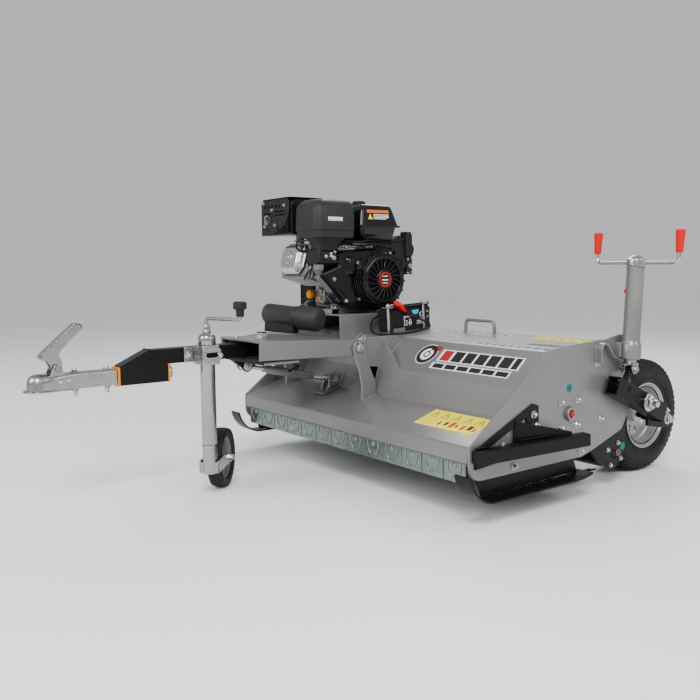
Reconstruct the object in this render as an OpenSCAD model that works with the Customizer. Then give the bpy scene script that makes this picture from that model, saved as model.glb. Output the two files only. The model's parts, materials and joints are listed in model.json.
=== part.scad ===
// Tow-behind flail brush mower with its own petrol engine.
// Axes: the hitch is at -Y, the rear wheels at +Y, +Z is up, Z = 0 is the ground.
// Inside the modules Y is measured from the deck's front lip; machine() moves it all to the origin.

/* [Deck] */
// Working width over the two side plates
deck_w = 1250; // [1200:10:1300]
// Thickness of the side plates
side_t = 8; // [6:1:10]
// Thickness of the folded hood sheet
hood_t = 5; // [4:1:6]
// Thickness of the bracket plates
plate_t = 8; // [6:1:10]

/* [Cutting] */
// Radius of the rotor tube
rotor_r = 51; // [45:1:55]
// Reach of a flail from its pin
flail_reach = 98; // [90:1:100]
// Number of flails in one row
flails_per_row = 9; // [6:1:11]
// Number of front guard flaps
flap_count = 13; // [11:1:14]

/* [Wheels] */
// Radius of the rear tyres
tyre_r = 201; // [195:1:203]
// Width of the rear tyres
tyre_w = 165; // [150:1:170]
// Radius of the rim flanges
rim_r = 115; // [110:1:118]
// Radius of the jockey wheel
jockey_r = 100; // [95:1:100]
// Radius of the rear roller
roller_r = 50; // [45:1:52]

/* [Hitch] */
// Radius of the socket for the tow ball
ball_socket_r = 25.4; // [25.2:0.1:25.6]
// Side of the square drawbar tube
drawbar_side = 50; // [45:1:50]
// Radius of the tongue pins
tongue_pin_r = 12.5; // [10:0.5:14]
// Radius of the turnbuckle's threaded rods
screw_r = 8; // [7:0.5:9]

/* [Jacks] */
// Radius of the jack tubes
jack_r = 27.5; // [25:0.5:28]
// Half the span of a jack's T handle
handle_reach = 147; // [130:1:150]

/* [Fits] */
// Radial clearance of a shaft that turns or slides in its hole
run_fit = 0.05; // [0.02:0.01:0.1]
// Gap between faces that pass each other
side_gap = 1; // [0.5:0.1:1.5]

/* [Hidden] */
$fn = 48;

grey_paint = [0.50, 0.49, 0.48];
black_paint = [0.09, 0.09, 0.10];
zinc = [0.72, 0.73, 0.74];
orange = [0.95, 0.58, 0.05];
rubber = [0.13, 0.14, 0.15];
castings = [0.60, 0.61, 0.62];

// Overall layout
coupler_tip_y = -960;
wheel_y = 958;
bead_r = rim_r - 14;
wheel_z = tyre_r;
wheel_x = deck_w/2 - 56 - tyre_w/2;
y_shift = -(coupler_tip_y + wheel_y + tyre_r)/2;
half = deck_w/2;

// Hood outline in Y and Z, from the lip to the rear edge
hood_path = [[0, 184], [4, 232], [180, 288], [215, 378], [332, 479], [600, 496], [694, 420], [733, 300]];
curtain_pin = [727, 292];
roller_c = [688, 112];
flap_pin = [22, 214];
flap_len = 94;

// Rotor and engine
rotor_c = [437, 279];
crank_c = [422, 686];
flail_pin_r = 78;
belt_x = -676;
rotor_pulley_r = 62;
engine_pulley_r = 52;
bed_near_x = -292;
bed_far_x = -600;
bed_top_z = 555;

// Tongue
tongue_pin = [110, 457];
lug_near_x = -18;
lug_far_x = -508;
tongue_rear_top_z = 486;
tongue_rise = 2.54;
tongue_low_z = 436;
tongue_front_y = -280;
drawbar_x = -190;
drawbar_z = 463;
drawbar_pivot_y = -172;
swivel_z = 411;
swivel_front_y = -684;
swivel_rear_y = -528;
knee_y = -585;
socket_y = coupler_tip_y + 44;
lever_pin = [-868, 452];
coupler_bolt_y = [-812, -716];

// Turnbuckle, from its rear pin to its front pin
turn_x = -258;
turn_rear = [163, 317];
turn_front = [-204, 398];
turn_len = norm(turn_front - turn_rear);
turn_rise = atan2(turn_front[1] - turn_rear[1], turn_rear[0] - turn_front[0]);

// Jockey wheel
jockey_x = -121;
jockey_y = -414;
jockey_heading = 137;
jockey_trail = 135;
jockey_tube_r = 24;
jockey_tube_z = 176;
crank_heading = 20;
crank_arm = 140;

// Rear wheel arms and their jacks, right side given and mirrored to the left
arm_pivot = [765, 286];
arm_slope = atan2(arm_pivot[1] - wheel_z, wheel_y - arm_pivot[0]);
arm_x = half + 10;
arm_w = 48;
jack_x = half + 34;
jack_lean = 3.4;
jack_pin = [698, 400];
link_pin = [664, 339];
ram_r = 20;
// Where the link's lower pin is, in the arm's own slanted axes
link_off = link_pin - arm_pivot;
link_local = [link_off[0]*cos(arm_slope) - link_off[1]*sin(arm_slope),
              link_off[0]*sin(arm_slope) + link_off[1]*cos(arm_slope)];

// Battery: X of its far face, then sizes; its base follows the hood's top
battery_x = -250;
battery_w = 84;
battery_y = 58;
battery_len = 204;
battery_rods = [38, 216];
battery_h = 96;
top_slope = atan2(hood_path[5][1] - hood_path[4][1], hood_path[5][0] - hood_path[4][0]);

// Puts a piece on the hood's top plate: Y runs back from its front fold, Z stands on its surface
module on_top() translate([0, hood_path[4][0], hood_path[4][1]]) rotate([top_slope, 0, 0]) children();

// Moves everything so that the origin is under the middle of the machine
module machine() translate([0, y_shift, 0]) children();

// Extrudes a Y-Z outline along X
module along_x(x, w) translate([x, 0, 0]) rotate([90, 0, 90]) linear_extrude(w) children();

// Extrudes an X-Z outline along Y
module along_y(y, w) translate([0, y + w, 0]) rotate([90, 0, 0]) linear_extrude(w) children();

// Cylinders along the three axes, each starting at its point
module rod_x(p, r, l) translate(p) rotate([0, 90, 0]) cylinder(r = r, h = l);
module rod_y(p, r, l) translate(p) rotate([-90, 0, 0]) cylinder(r = r, h = l);
module rod_z(p, r, l) translate(p) cylinder(r = r, h = l);

// A box from its low corner
module block(p, s) translate(p) cube(s);

// The same thing on both sides of the machine
module both_sides() {
  children();
  mirror([1, 0, 0]) children();
}

// A right or left part: side is 1 or -1
module on_side(side) mirror([side < 0 ? 1 : 0, 0, 0]) children();

// A rectangle with round corners, from its low corner
module round_rect(w, h, r) {
  translate([r, 0]) square([w - 2*r, h]);
  translate([0, r]) square([w, h - 2*r]);
  for (x = [r, w - r], y = [r, h - r]) translate([x, y]) circle(r = r);
}

// Bent strip: an open path thickened to its right
function unit(v) = v/norm(v);
function right_of(a, b) = let(d = unit(b - a)) [d[1], -d[0]];
function mitred(path, i, t) =
  let(before = right_of(path[max(i, 1) - 1], path[max(i, 1)]),
      last = len(path) - 2,
      after = right_of(path[min(i, last)], path[min(i, last) + 1]),
      m = unit(before + after))
  path[i] + m*t/(m*before);
function ribbon(path, t) = concat(path, [for (i = [len(path) - 1:-1:0]) mitred(path, i, t)]);
function arc(c, r, a, b, n) = [for (i = [0:n]) c + r*[cos(a + (b - a)*i/n), sin(a + (b - a)*i/n)]];

// A hexagon bolt head with its washer, standing on a face that looks along +X
module bolt_x(p, r) {
  rod_x(p, r*1.15, 2.5);
  translate(p) rotate([0, 90, 0]) cylinder(r = r, h = 2.5 + r, $fn = 6);
}

module bolt_z(p, r) {
  rod_z(p, r*1.15, 2.5);
  translate(p) cylinder(r = r, h = 2.5 + r, $fn = 6);
}

/* ---------- deck ---------- */

module deck_shell() color(grey_paint) machine()
  along_x(-half + side_t, deck_w - 2*side_t) polygon(ribbon(hood_path, hood_t));

module side_outline() polygon(concat(
  [[332, 479], [2, 232]], arc([48, 178], 46, 180, 270, 8),
  [[505, 132], [561, 146], [713, 193], [751, 248], [786, 272], [792, 292], [778, 316],
   [757, 350], [754, 470], [728, 508], [692, 510], [600, 496]]));

module side_plates() color(grey_paint) machine() both_sides() {
  difference() {
    along_x(half - side_t, side_t) side_outline();
    rod_x([half - 20, arm_pivot[0], arm_pivot[1]], 16, 40);
    rod_x([half - 20, rotor_c[0], rotor_c[1]], 22, 40);
  }
  // Jack support: a bent rib, a shelf and the arm's pivot boss
  along_x(half, 24) polygon(ribbon(concat([[566, 424], [564, 462]], arc([586, 468], 22, 180, 50, 6),
    [[632, 446], [654, 438]]), 5));
  block([half, 655, 441], [26, 11, 46]);
}

module engine_bed() color(grey_paint) machine() {
  for (x = [bed_near_x, bed_far_x])
    along_x(x, plate_t) polygon([[232, 402], [232, bed_top_z], [520, bed_top_z], [520, 494],
      [345, 481], [332, 480]]);
  block([bed_far_x, 232, bed_top_z - 6], [bed_near_x - bed_far_x + plate_t, 288, 6]);
  block([bed_far_x, 512, 494], [bed_near_x - bed_far_x + plate_t, 8, 56]);
}

// Banana plate that carries a tongue pin, and its inner twin welded to the hood
module tongue_lug(x, w) along_x(x, w) difference() {
  union() {
    polygon(concat([[119, 269], [180, 289], [182, 330], [150, 400]],
      arc(tongue_pin, 26, 25, 200, 8), [[92, 425], [112, 372], [122, 320]]));
  }
  translate(tongue_pin) circle(r = tongue_pin_r);
}

module inner_lug(x, w) along_x(x, w) difference() {
  polygon(concat([[182, 294], [216, 380], [322, 471], [300, 487], [240, 489]],
    arc(tongue_pin, 30, 90, 250, 8), [[150, 390]]));
  translate(tongue_pin) circle(r = tongue_pin_r);
}

// Three-sided folded gusset between an inner lug and the hood
module lug_gusset(x, dir) translate([x, 0, 0]) mirror([dir < 0 ? 1 : 0, 0, 0])
  polyhedron(points = [[0, 240, 470], [0, 215, 379], [0, 183, 297], [110, 215, 379], [52, 181, 290]],
             faces = [[0, 1, 3], [0, 3, 4], [0, 4, 2], [0, 2, 1], [1, 2, 4, 3]]);

module hitch_brackets() color(grey_paint) machine() {
  tongue_lug(lug_near_x, 10);
  tongue_lug(lug_far_x, 10);
  inner_lug(lug_near_x - 22, 10);
  inner_lug(lug_far_x + 22, 10);
  lug_gusset(lug_near_x - 12, 1);
  lug_gusset(lug_far_x + 22, -1);
  for (x = [turn_x - 22, turn_x + 13]) along_x(x, 9) difference() {
    polygon(concat([[128, 272]], arc(turn_rear, 20, 200, 60, 6), [[202, 345], [181, 289]]));
    translate(turn_rear) circle(r = screw_r);
  }
}

module grab_handle() color(grey_paint) machine() {
  top = 540;
  for (x = [82, 222]) rod_z([x, 536, 492.5], 6, top - 492);
  rod_x([76, 536, top], 6, 152);
}

// Skid shoe: upright plate and a sole that turns up at both ends
module skid() {
  sole = concat(arc([66, 180], 100, 190, 270, 9), [[430, 80], [470, 83], [508, 91]]);
  along_x(half - side_t - 8, 7) polygon([[14, 200], [60, 84], [495, 86], [476, 128], [470, 160], [440, 176]]);
  along_x(half - side_t - 12, 64) polygon(ribbon(sole, 6));
}

module skids() color(black_paint) machine() both_sides() skid();

// Triangular side bumper, on the side away from the belt drive
module side_bumper() color(black_paint) machine() {
  along_x(half, 6) difference() {
    polygon([[20, 168], [24, 226], [262, 330], [286, 322], [290, 236], [120, 176]]);
    polygon([[75, 205], [70, 222], [232, 292], [240, 230]]);
  }
  tail = [half + 60, 426, 210];
  nose = [half + 4, 10, 203];
  run = tail - nose;
  translate(nose) rotate([0, 0, -atan2(run[0], run[1])]) rotate([atan2(run[2], norm([run[0], run[1]])), 0, 0])
    difference() {
      block([0, 0, -27], [34, norm(run), 54]);
      block([4, 6, -23], [26, norm(run), 46]);
    }
  // Web between the strap and the tube
  hull() for (corner = [[half + 4, 181, 286], [half + 4, 172, 231], [half + 22, 172, 231], [half + 52, 372, 236]])
    translate(corner) cylinder(r = 3, h = 6);
}

module roller_brackets() color(black_paint) machine() both_sides() along_x(half - side_t - 8, 8)
  difference() {
    polygon([[548, 150], [588, 112], [660, 64], [680, 58], [712, 72], [750, 120], [748, 232], [628, 240]]);
    translate(roller_c) circle(r = 15);
  }

module bearing_housings() color(castings) machine() {
  both_sides() {
    difference() {
      along_x(half - side_t - 34, 34) translate(rotor_c - [52, 52]) round_rect(104, 104, 16);
      rod_x([half - 60, rotor_c[0], rotor_c[1]], 17 + run_fit, 80);
    }
  }
  // Outer collar on the side away from the belts
  difference() {
    rod_x([half - side_t, rotor_c[0], rotor_c[1]], 21, side_t + 12);
    rod_x([half - side_t - 1, rotor_c[0], rotor_c[1]], 17 + run_fit, side_t + 14);
  }
  both_sides() difference() {
    rod_x([half - side_t - 32, roller_c[0], roller_c[1]], 30, 24);
    rod_x([half - side_t - 40, roller_c[0], roller_c[1]], 12 + run_fit, 40);
  }
}

module deck_fasteners() color(zinc) machine() {
  // Bearing bolts, skid bolts and adjuster bolts on the side plates
  both_sides() {
    for (a = [45:90:315]) bolt_x([half, rotor_c[0] + 56*cos(a), rotor_c[1] + 56*sin(a)], 9);
    for (p = [[187, 153], [498, 152], [597, 244], [570, 424]]) bolt_x([half, p[0], p[1]], 9);
    for (a = [62:90:332])
      bolt_x([half - side_t, roller_c[0] + 40*cos(a), roller_c[1] + 40*sin(a)], 6);
    rod_x([half - 2*side_t, arm_pivot[0], arm_pivot[1]], 16, 2*side_t + 92);
    bolt_x([half + 71, arm_pivot[0], arm_pivot[1]], 21);
  }
  for (p = [[262, 298], [276, 262], [133, 222]]) bolt_x([half + 6, p[0], p[1]], 9);
  // Rod that the front flaps hang on
  rod_x([-half + side_t, flap_pin[0], flap_pin[1]], 6, deck_w - 2*side_t);
  // Tongue pins with their rings
  for (x = [lug_near_x - 24, lug_far_x - 4]) rod_x([x, tongue_pin[0], tongue_pin[1]], tongue_pin_r, 38);
  rod_x([lug_near_x + 14, tongue_pin[0], tongue_pin[1]], 9, 8);
  // Turnbuckle's rear pin
  rod_x([turn_x - 24, turn_rear[0], turn_rear[1]], screw_r, 52);
  bolt_x([turn_x + 22, turn_rear[0], turn_rear[1]], 12);
  // Engine bed bolts and battery rods with their bar
  for (x = [-361, -578], y = [250, 506]) bolt_z([x, y, bed_top_z + 20], 8);
  on_top() {
    for (y = battery_rods) {
      rod_z([battery_x + battery_w + 6, y, 0], 5.3, battery_h + 16);
      rod_z([battery_x + battery_w + 6, y, battery_h + 3], 9, 3);
    }
    block([battery_x + battery_w - 14, battery_rods[0] - 24, battery_h], [30, battery_rods[1] - battery_rods[0] + 40, 3]);
  }
}

/* ---------- belt drive ---------- */

module guard_outline(m) translate([344 + m, 190 + m]) round_rect(208 - 2*m, 606 - 2*m, 60 - m);

module belt_guard() color(black_paint) machine() difference() {
  along_x(-half - 98, 98) guard_outline(0);
  along_x(-half - 95, 92) guard_outline(3);
  // Holes for the two shafts in the inner wall
  rod_x([-half - 20, rotor_c[0], rotor_c[1]], 78, 40);
  rod_x([-half - 20, crank_c[0], crank_c[1]], 30, 40);
  // Cooling slots in the outer and inner walls
  for (z = [380:44:600]) {
    along_x(-half - 110, 140) translate([360, z]) round_rect(76, 14, 6.9);
    along_x(-half - 110, 20) translate([456, z]) round_rect(76, 14, 6.9);
  }
}

// One V belt round both pulleys, as two straight runs and two half rings
module belt(x) {
  gap = 0.4;
  thick = 8;
  run = crank_c - rotor_c;
  tilt = atan2(run[0], run[1]);
  along_x(x, 12) translate(rotor_c) rotate(-tilt) difference() {
    union() {
      circle(r = rotor_pulley_r + gap + thick);
      translate([0, norm(run)]) circle(r = engine_pulley_r + gap + thick);
      polygon([[-rotor_pulley_r - gap - thick, 0], [rotor_pulley_r + gap + thick, 0],
        [engine_pulley_r + gap + thick, norm(run)], [-engine_pulley_r - gap - thick, norm(run)]]);
    }
    circle(r = rotor_pulley_r + gap);
    translate([0, norm(run)]) circle(r = engine_pulley_r + gap);
    polygon([[-rotor_pulley_r - gap, 0], [rotor_pulley_r + gap, 0],
      [engine_pulley_r + gap, norm(run)], [-engine_pulley_r - gap, norm(run)]]);
  }
}

module drive_belts() color(rubber) machine() for (x = [belt_x - 14, belt_x + 2]) belt(x);

module pulley(c, r) {
  rod_x([belt_x - 20, c[0], c[1]], r, 40);
  for (x = [belt_x - 22, belt_x - 1, belt_x + 15]) rod_x([x, c[0], c[1]], r + 6, x == belt_x - 1 ? 2 : 4);
}

module engine_pulley() color(zinc) machine() {
  pulley(crank_c, engine_pulley_r);
  rod_x([belt_x, crank_c[0], crank_c[1]], 12.5, 130);
}

/* ---------- engine ---------- */

module engine_block() color(castings) machine() {
  // Crankcase with its feet
  difference() {
    union() {
      along_x(-556, 184) polygon(concat([[307, 575], [307, 640]], arc(crank_c, 118, 160, 10, 10),
        [[522, 575]]));
      block([-592, 236, bed_top_z], [242, 284, 20]);
      // Cylinder and head, leaning to the front
      translate([0, crank_c[0], crank_c[1]]) rotate([-16, 0, 0]) block([-540, -290, -60], [170, 230, 120]);
    }
    rod_x([-580, crank_c[0], crank_c[1]], 12.5 + run_fit, 140);
  }
  // Cooling fins
  translate([0, crank_c[0], crank_c[1]]) rotate([-16, 0, 0])
    for (y = [-270:14:-160]) block([-546, y, -68], [182, 5, 136]);
  // Oil fillers at the crankcase's front
  rod_y([-505, 250, 628], 15, 60);
  rod_y([-505, 234, 628], 19, 17);
  block([-495, 262, 590], [71, 50, 66]);
}

module valve_cover() color(zinc) machine()
  translate([-455, crank_c[0], crank_c[1]]) rotate([-16, 0, 0]) translate([0, -290, 0])
    rotate([90, 0, 0]) {
      for (step = [[0, 12, 0], [12, 24, 8]]) translate([0, 0, step[0]]) linear_extrude(step[1])
        polygon([[70 - step[2], 30 - step[2]*0.6], [45 - step[2], 55 - step[2]*0.6],
          [-45 + step[2], 55 - step[2]*0.6], [-70 + step[2], 30 - step[2]*0.6],
          [-70 + step[2], -30 + step[2]*0.6], [-45 + step[2], -55 + step[2]*0.6],
          [45 - step[2], -55 + step[2]*0.6], [70 - step[2], -30 + step[2]*0.6]]);
    }

module shroud_outline() {
  polygon([[150, 704], [152, 712], [228, 742], [230, 784], [345, 802], [445, 806], [445, 560], [300, 560], [262, 572]]);
  translate(crank_c) circle(r = 122);
}

module fan_housing() color(black_paint) machine() along_x(-348, 62) shroud_outline();

module recoil_cover() color(black_paint) machine() {
  rod_x([-286, crank_c[0], crank_c[1]], 104, 12);
  difference() {
    rod_x([-274, crank_c[0], crank_c[1]], 97, 18);
    for (a = [0:18:342]) translate([-266, crank_c[0], crank_c[1]]) rotate([a, 0, 0])
      block([0, -3, 46], [20, 6, 38]);
  }
}

module fuel_tank() color(black_paint) machine() {
  along_x(-530, 262) polygon([[320, 897], [513, 897], [484, 976], [336, 976]]);
  block([-536, 314, 888], [274, 207, 9]);
  along_x(-522, 246) polygon([[325, 888], [511, 888], [500, 838], [345, 838]]);
  rod_z([-352, 378, 976], 26, 18);
}

module air_filter() color(black_paint) machine() {
  along_x(-424, 159) polygon([[116, 846], [116, 962], [132, 980], [200, 993], [272, 990], [296, 974],
    [296, 852], [276, 846]]);
}

module muffler() color(black_paint) machine() {
  along_x(-640, 210) polygon([[118, 866], [112, 984], [126, 1000], [262, 1006], [276, 990], [276, 880], [262, 866]]);
  rod_z([-500, 212, 830], 19, 37);
  rod_y([-560, 96, 930], 11, 18);
}

module carburettor() color(castings) machine() {
  block([-366, 128, 750], [70, 92, 96]);
  rod_z([-314, 134, 704], 13, 46);
  block([-300, 160, 806], [6, 130, 6]);
}

module control_box() color(black_paint) machine() {
  block([-330, 572, 704], [40, 34, 172]);
  block([-330, 524, 756], [30, 48, 56]);
}

/* ---------- battery ---------- */

module battery() color(black_paint) machine() on_top() {
  block([battery_x, battery_y, 0], [battery_w, battery_len, battery_h - 14]);
  block([battery_x + 2, battery_y + 3, battery_h - 14], [battery_w - 4, battery_len - 6, 14]);
}

// Leads: routes of round points, each swept as one closed tube
lead_r = 3.5;
lead_sides = 8;
lead_a = [[-196, 428, 587], [-174, 432, 589], [-160, 438, 580], [-158, 448, 558], [-150, 491, 538], [-147, 541, 524],
          [-143, 564, 508], [-134, 548, 497], [-116, 505, 495], [-100, 450, 491], [-100, 390, 487],
          [-124, 345, 484], [-164, 322, 483], [-196, 318, 490], [-228, 336, 514], [-256, 372, 532], [-259, 404, 546],
          [-262, 440, 561], [-280, 470, 566], [-322, 500, 572], [-358, 530, 602], [-360, 552, 650],
          [-346, 572, 690], [-322, 588, 705]];
function frame_at(p, i) = let(a = p[max(i - 1, 0)], b = p[min(i + 1, len(p) - 1)], d = unit(b - a),
  s = unit(cross(d, [0.2, 0.1, 1])), u = cross(s, d)) [s, u];
function ring(p, i) = let(f = frame_at(p, i)) [for (k = [0:lead_sides - 1])
  p[i] + lead_r*(cos(360*k/lead_sides)*f[0] + sin(360*k/lead_sides)*f[1])];
function bend(p, i, t) = let(a = p[max(i - 1, 0)], b = p[i], c = p[i + 1], d = p[min(i + 2, len(p) - 1)])
  0.5*(2*b + (c - a)*t + (2*a - 5*b + 4*c - d)*t*t + (3*b - a - 3*c + d)*t*t*t);
function smooth(p, n) = concat([for (i = [0:len(p) - 2], k = [0:n - 1]) bend(p, i, k/n)], [p[len(p) - 1]]);

module tube(p) {
  n = len(p);
  m = lead_sides;
  polyhedron(
    points = [for (i = [0:n - 1]) each ring(p, i)],
    faces = concat([[for (k = [0:m - 1]) k]], [[for (k = [m - 1:-1:0]) (n - 1)*m + k]],
      [for (i = [0:n - 2], k = [0:m - 1]) [i*m + k, (i + 1)*m + k, (i + 1)*m + (k + 1)%m, i*m + (k + 1)%m]]));
}

module battery_leads() color(rubber) machine() tube(smooth(lead_a, 3));

/* ---------- flaps, curtain, rotor, roller ---------- */

module front_flaps() color(zinc) machine() {
  span = deck_w - 2*side_t - 30;
  pitch = span/flap_count;
  for (i = [0:flap_count - 1]) translate([-span/2 + i*pitch, 0, 0]) difference() {
    union() {
      rod_x([2, flap_pin[0], flap_pin[1]], 10, pitch - 4);
      block([2, flap_pin[0] - 10, flap_pin[1] - flap_len], [pitch - 4, 4, flap_len]);
    }
    rod_x([0, flap_pin[0], flap_pin[1]], 6 + run_fit, pitch);
  }
}

module rear_curtain() color(rubber) machine() {
  reach = wheel_x - tyre_w/2 - 14;
  block([-reach, curtain_pin[0] - 2.5, 170], [2*reach, 5, curtain_pin[1] - 170]);
  rod_x([-reach, curtain_pin[0], curtain_pin[1]], 4, 2*reach);
}

module rotor() color(grey_paint) machine() {
  inner = half - side_t - 44;
  rod_x([-inner, rotor_c[0], rotor_c[1]], rotor_r, 2*inner);
  rod_x([-half - 78, rotor_c[0], rotor_c[1]], 17, deck_w + 78 - 30);
  pulley(rotor_c, rotor_pulley_r);
  for (row = [0, 1], i = [0:flails_per_row - 1], s = [-1, 1])
    translate([flail_x(i) + s*16 - 3, rotor_c[0], rotor_c[1]]) rotate([row*180, 0, 0])
      difference() {
        block([0, -14, rotor_r - 3], [6, 28, 42]);
        rod_x([-1, 0, flail_pin_r], 7, 8);
      }
  for (row = [0, 1], i = [0:flails_per_row - 1])
    translate([flail_x(i), rotor_c[0], rotor_c[1]]) rotate([row*180, 0, 0])
      rod_x([-23, 0, flail_pin_r], 7, 46);
}

function flail_x(i) = let(inner = half - side_t - 90) -inner + 2*inner*i/(flails_per_row - 1);

// One row of hammer flails, each on its own pin
module flail_row(turn) machine() for (i = [0:flails_per_row - 1])
  translate([flail_x(i), rotor_c[0], rotor_c[1]]) rotate([turn, 0, 0]) difference() {
    union() {
      rod_x([-11, 0, flail_pin_r], 14, 22);
      block([-5, -12, flail_pin_r + 8], [10, 24, flail_reach - 26]);
      block([-30, -16, flail_pin_r + flail_reach - 26], [60, 28, 22]);
    }
    rod_x([-12, 0, flail_pin_r], 7 + run_fit, 24);
  }

module flails_a() color(black_paint) flail_row(0);
module flails_b() color(black_paint) flail_row(180);

module rear_roller() color(black_paint) machine() {
  inner = half - side_t - 42;
  rod_x([-inner, roller_c[0], roller_c[1]], roller_r, 2*inner);
  rod_x([-half + side_t, roller_c[0], roller_c[1]], 12, deck_w - 2*side_t);
}

/* ---------- rear wheels, arms and jacks ---------- */

module arm(side) color(black_paint) machine() on_side(side) {
  translate([arm_x, arm_pivot[0], arm_pivot[1]]) rotate([-arm_slope, 0, 0]) difference() {
    union() {
      block([0, -170, -30], [arm_w, 296, 60]);
      rod_x([0, 0, 0], 30, arm_w);
    }
    block([5, -171, -25], [arm_w - 10, 130, 50]);
    block([5, 40, -25], [arm_w - 10, 90, 50]);
    block([arm_w/2 - 13, -150, 0], [26, 104, 40]);
    rod_x([-1, 0, 0], 16 + run_fit, arm_w + 2);
    rod_x([-1, link_local[0], link_local[1]], 9, arm_w + 2);
  }
  // Axle plate and axle
  difference() {
    along_x(arm_x - 3, 10) polygon([[840, 300], [895, 268], [985, 226], [985, 176], [930, 172], [840, 190]]);
    rod_x([arm_x - 10, arm_pivot[0], arm_pivot[1]], 60, 30);
  }
  rod_x([wheel_x - 70, wheel_y, wheel_z], 12, arm_x - wheel_x + 74);
  rod_x([wheel_x + 62, wheel_y, wheel_z], 17, arm_x - wheel_x - 62);
}

module left_arm() arm(1);
module right_arm() arm(-1);

module rim(side) color(zinc) machine() on_side(side) translate([wheel_x, wheel_y, wheel_z])
  rotate([0, 90, 0]) difference() {
    rotate_extrude() {
      translate([12 + run_fit, -60]) square([16, 120]);
      translate([26, -6]) square([72, 6]);
      translate([bead_r - 5, -70]) square([5, 140]);
      for (s = [-68, 68]) translate([bead_r - 5, s - 2]) square([rim_r - bead_r + 5, 4]);
    }
    for (a = [0:90:270]) rotate(a) translate([52, 0, -10]) cylinder(r = 7, h = 20);
  }

module left_rim() rim(1);
module right_rim() rim(-1);

module tyre(side) color(rubber) machine() on_side(side) translate([wheel_x, wheel_y, wheel_z])
  rotate([0, 90, 0]) rotate_extrude($fn = 96) polygon(concat(
    [[bead_r + 0.2, -65.5], [rim_r + 1, -65.5], [rim_r + 5, -76]],
    arc([168, -56], 26, 260, 310, 3), arc([tyre_r - 30, -52], 30, 320, 345, 2), [[tyre_r, -40], [tyre_r, 40]],
    arc([tyre_r - 30, 52], 30, 15, 40, 2), arc([168, 56], 26, 50, 100, 3),
    [[rim_r + 5, 76], [rim_r + 1, 65.5], [bead_r + 0.2, 65.5]]));

module left_tyre() tyre(1);
module right_tyre() tyre(-1);

// Everything on a jack is built about its own axis, with Z = 0 at the clevis pin
module on_jack(side) machine() on_side(side) translate([jack_x, jack_pin[0], jack_pin[1]])
  rotate([-jack_lean, 0, 0]) children();

jack_low = 32;
screw_rod_r = 11;
jack_collar = 88;
jack_top = 330;

module jack_tubes() color(grey_paint) for (side = [1, -1]) on_jack(side) {
  difference() {
    union() {
      translate([0, 0, jack_low]) cylinder(r = 33, h = jack_collar - jack_low);
      translate([0, 0, jack_collar]) cylinder(r = jack_r, h = jack_top - jack_collar);
    }
    translate([0, 0, jack_low - 1]) cylinder(r = ram_r + run_fit, h = jack_top - jack_low - 14);
    translate([0, 0, jack_low]) cylinder(r = screw_rod_r + run_fit, h = jack_top);
  }
}

module crank(side) color(zinc) on_jack(side) {
  top = jack_top + side_gap;
  translate([0, 0, top]) cylinder(r = 29, h = 22);
  translate([0, 0, top + 22]) cylinder(r1 = 24, r2 = 12, h = 12);
  translate([0, 0, 100]) cylinder(r = screw_rod_r, h = top - 99);
  for (s = [-1, 1]) {
    translate([s*handle_reach, 0, top + 10]) {
      translate([s < 0 ? 0 : -handle_reach, 0, 0]) rotate([0, 90, 0]) cylinder(r = 6, h = handle_reach);
      cylinder(r = 6, h = 40);
      translate([0, 0, 30]) cylinder(r1 = 11, r2 = 15, h = 66);
      translate([0, 0, 96]) cylinder(r1 = 15, r2 = 12, h = 5);
    }
  }
}

module left_crank() crank(1);
module right_crank() crank(-1);

module ram(side) color(zinc) on_jack(side) {
  difference() {
    translate([0, 0, 14]) cylinder(r = ram_r, h = 160);
    translate([0, 0, 60]) cylinder(r = screw_rod_r + 1, h = 120);
  }
  // Clevis: crown and two cheeks with the pin through them
  translate([0, 0, 14]) cylinder(r = 22, h = 8);
  for (x = [-22, 16]) block([x, -16, -16], [6, 32, 36]);
  rod_x([-24, 0, 0], 6, 48);
}

module left_ram() ram(1);
module right_ram() ram(-1);

// Short link from the jack's clevis to the arm
module link(side) color(black_paint) machine() on_side(side) {
  along_x(jack_x - 9, 18) difference() {
    union() {
      translate(jack_pin) circle(r = 11);
      translate(link_pin) circle(r = 11);
      translate(link_pin) rotate(atan2(jack_pin[1] - link_pin[1], jack_pin[0] - link_pin[0]))
        translate([0, -7]) square([norm(jack_pin - link_pin), 14]);
    }
    translate(jack_pin) circle(r = 6 + run_fit);
  }
  rod_x([jack_x - 23, link_pin[0], link_pin[1]], 6, 46);
}

module left_link() link(1);
module right_link() link(-1);

/* ---------- tongue and hitch ---------- */

// Height of the sloping top plate at a place along Y
function tongue_top(y) = tongue_rear_top_z + (72 - y)*tan(tongue_rise);
module under_top() translate([0, 72, tongue_rear_top_z]) rotate([-tongue_rise, 0, 0]) translate([0, -72, 0]) children();

module tongue_eye(x, y0) along_x(x, plate_t) difference() {
  union() {
    polygon([[y0, tongue_low_z + (y0 < 0 ? 4 : 0)], [y0, tongue_top(y0) - 1], [110, tongue_top(110) - 1],
      [110, tongue_low_z - 6]]);
    translate(tongue_pin) circle(r = 29);
  }
  translate(tongue_pin) circle(r = tongue_pin_r + run_fit);
}

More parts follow.
